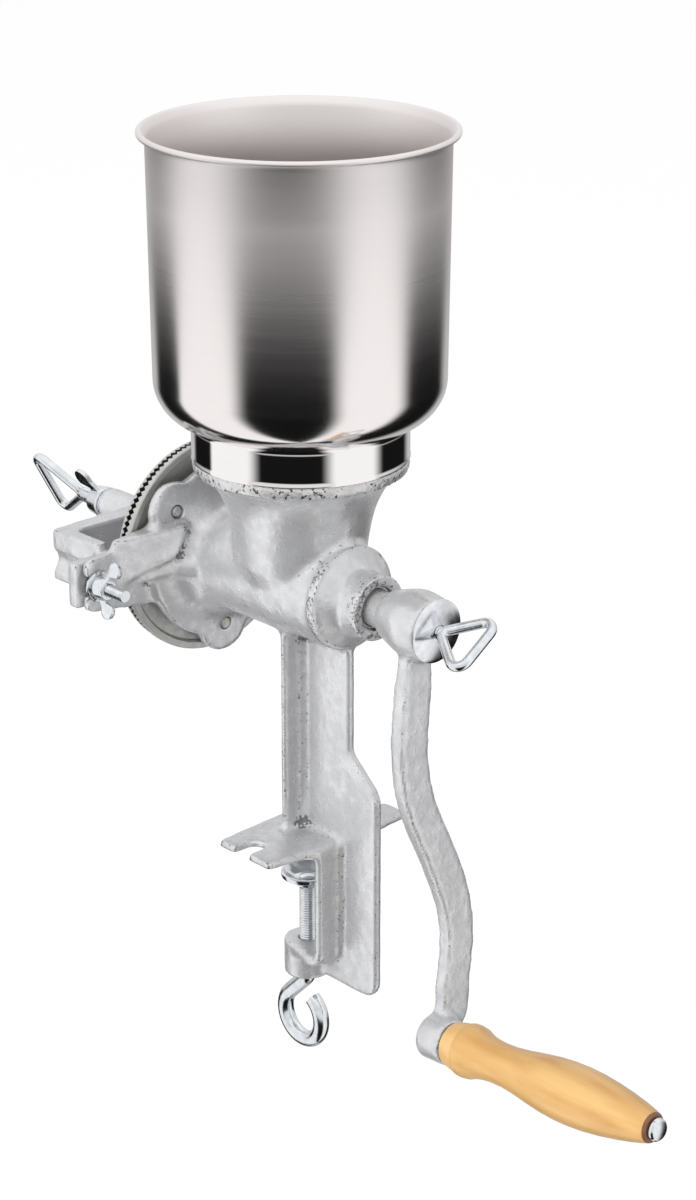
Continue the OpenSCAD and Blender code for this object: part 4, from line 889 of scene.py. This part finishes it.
throw = 197
hub_l = 28
arm_x = crank_face_x - hub_l * 7 / 16
handle_place = (arm_x + throw * math.sin(crank_lean), 0, axis_z - throw * math.cos(crank_lean))
handle_turn = (0, -crank_lean, 0)
grip_from = 11.55
band_l = 8.9
grip_l = 122
grip_outline = [
    (3.2, 0), (9.6, 0), (10.2, 0.4), (11.1, 4), (11.8, 8.6), (11.8, 9), (12.4, 9.2), (12.45, 12),
    (12.1, 14.6), (11.7, 15.4), (10.7, 18.4), (9.8, 23), (9.35, 29), (9.5, 36), (10.4, 44), (11.8, 53),
    (13, 62), (13.55, 70), (13.6, 78), (13.2, 86), (12.2, 95), (10.8, 104), (9.2, 112), (7.7, 118),
    (6.9, 120.6), (5.9, 121.9), (3.2, grip_l), (3.2, 0)]
grip = turn_piece("turned_grip", [(r, grip_from + x) for r, x in grip_outline], centre=(0, 0, 0))
apply_modifier(grip, "BEVEL", width=0.0004, segments=2, limit_method="ANGLE", angle_limit=math.radians(40))
at_place(grip, handle_place, handle_turn)
bpy.ops.object.shade_smooth_by_angle(angle=math.radians(24))
handle_wood = varnished_wood("varnished_wood", (0.52, 0.32, 0.115), (0.39, 0.195, 0.05))
place_piece(grip, "wooden_handle", "grip", handle_wood)
end_grain = varnished_wood("end_grain", (0.16, 0.07, 0.03), (0.08, 0.03, 0.02))
grip.data.materials.append(end_grain)
# The band by the crank end is a lighter copy of the wood: a painted highlight where light falls on its cone.
painted_band_highlight = varnished_wood("painted_band_highlight", (0.57, 0.37, 0.155), (0.49, 0.29, 0.10))
grip.data.materials.append(painted_band_highlight)
grip_way = Vector((math.cos(crank_lean), 0, math.sin(crank_lean)))
for face in grip.data.polygons:
    along_grip = (face.center * 1000 - Vector(handle_place)).dot(grip_way) - grip_from
    if along_grip < 0.5 or along_grip > grip_l - 1.2:
        face.material_index = 1
    # The band's faces take the lighter copy, a painted highlight.
    elif along_grip < band_l:
        face.material_index = 2
head_x = grip_from + grip_l + 0.8
handle_bolt = turn_piece("grip_bolt", [
    (0, -5.1), (2.6, -5.1), (3, -4.7), (3, head_x), (4.9, head_x), (5.2, head_x + 0.4), (5.1, head_x + 1.4),
    (4.4, head_x + 2.1), (2.6, head_x + 2.5), (0, head_x + 2.6)], centre=(0, 0, 0), steps=48)
at_place(handle_bolt, handle_place, handle_turn)
place_piece(handle_bolt, "handle_bolt", "rotor", bright_zinc)

# The clamp screw is a threaded rod bent to an open hook, and its riveted tip turns in a pressed pad.
pad_rim_z = -20.5
pad_floor_z = pad_rim_z - 4
clamp_pad = turn_piece("pressed_pad", [
    (3.3, pad_floor_z - 2.9), (5, pad_floor_z - 2.9), (5.4, pad_floor_z - 2.6), (5.4, pad_floor_z - 1.2),
    (6.2, pad_floor_z - 0.8), (11.8, pad_rim_z - 2.5), (12.3, pad_rim_z - 2.1), (12.4, pad_rim_z - 1.6),
    (12.4, pad_rim_z - 0.3), (12.1, pad_rim_z), (11.2, pad_rim_z), (10.8, pad_rim_z - 0.8),
    (6.8, pad_floor_z + 0.7), (6, pad_floor_z + 0.2), (3.3, pad_floor_z), (3.3, pad_floor_z - 2.9)],
    along="Z", centre=(clamp_x, 0, 0))
place_piece(clamp_pad, "clamp_pad", "pad", bright_zinc)
hook_z = jaw_z - 19.1
screw_r = 3.95
hook_r = 12.8
hook_moves = [(3,), (screw_r * 4 / 3, -45), (hook_r * 1.21,), (hook_r, 282)]
hook = bent_rod("hook", screw_r - 0.05, (0, hook_z + 3), -90, hook_moves, False)
at_place(hook, (clamp_x, 0, 0), (math.pi / 2, 0, 0))
screw_thread = threaded_rod("screw_thread", screw_r, pitch=1.25, low=hook_z + 1.5, high=pad_floor_z - 4.2,
                            along="Z", centre=(clamp_x, 0, 0))
riveted_tip = turn_piece("riveted_tip", [
    (0, pad_floor_z - 5), (3.1, pad_floor_z - 5), (3.1, pad_floor_z + 0.1), (4, pad_floor_z + 0.2),
    (3.7, pad_floor_z + 1.2), (2.2, pad_floor_z + 1.8), (0, pad_floor_z + 1.9)],
    along="Z", centre=(clamp_x, 0, 0), steps=48)
clamp_screw = join_pieces("hooked_screw", [hook, screw_thread, riveted_tip])
place_piece(clamp_screw, "clamp_screw", "clamp_screw", bright_zinc)
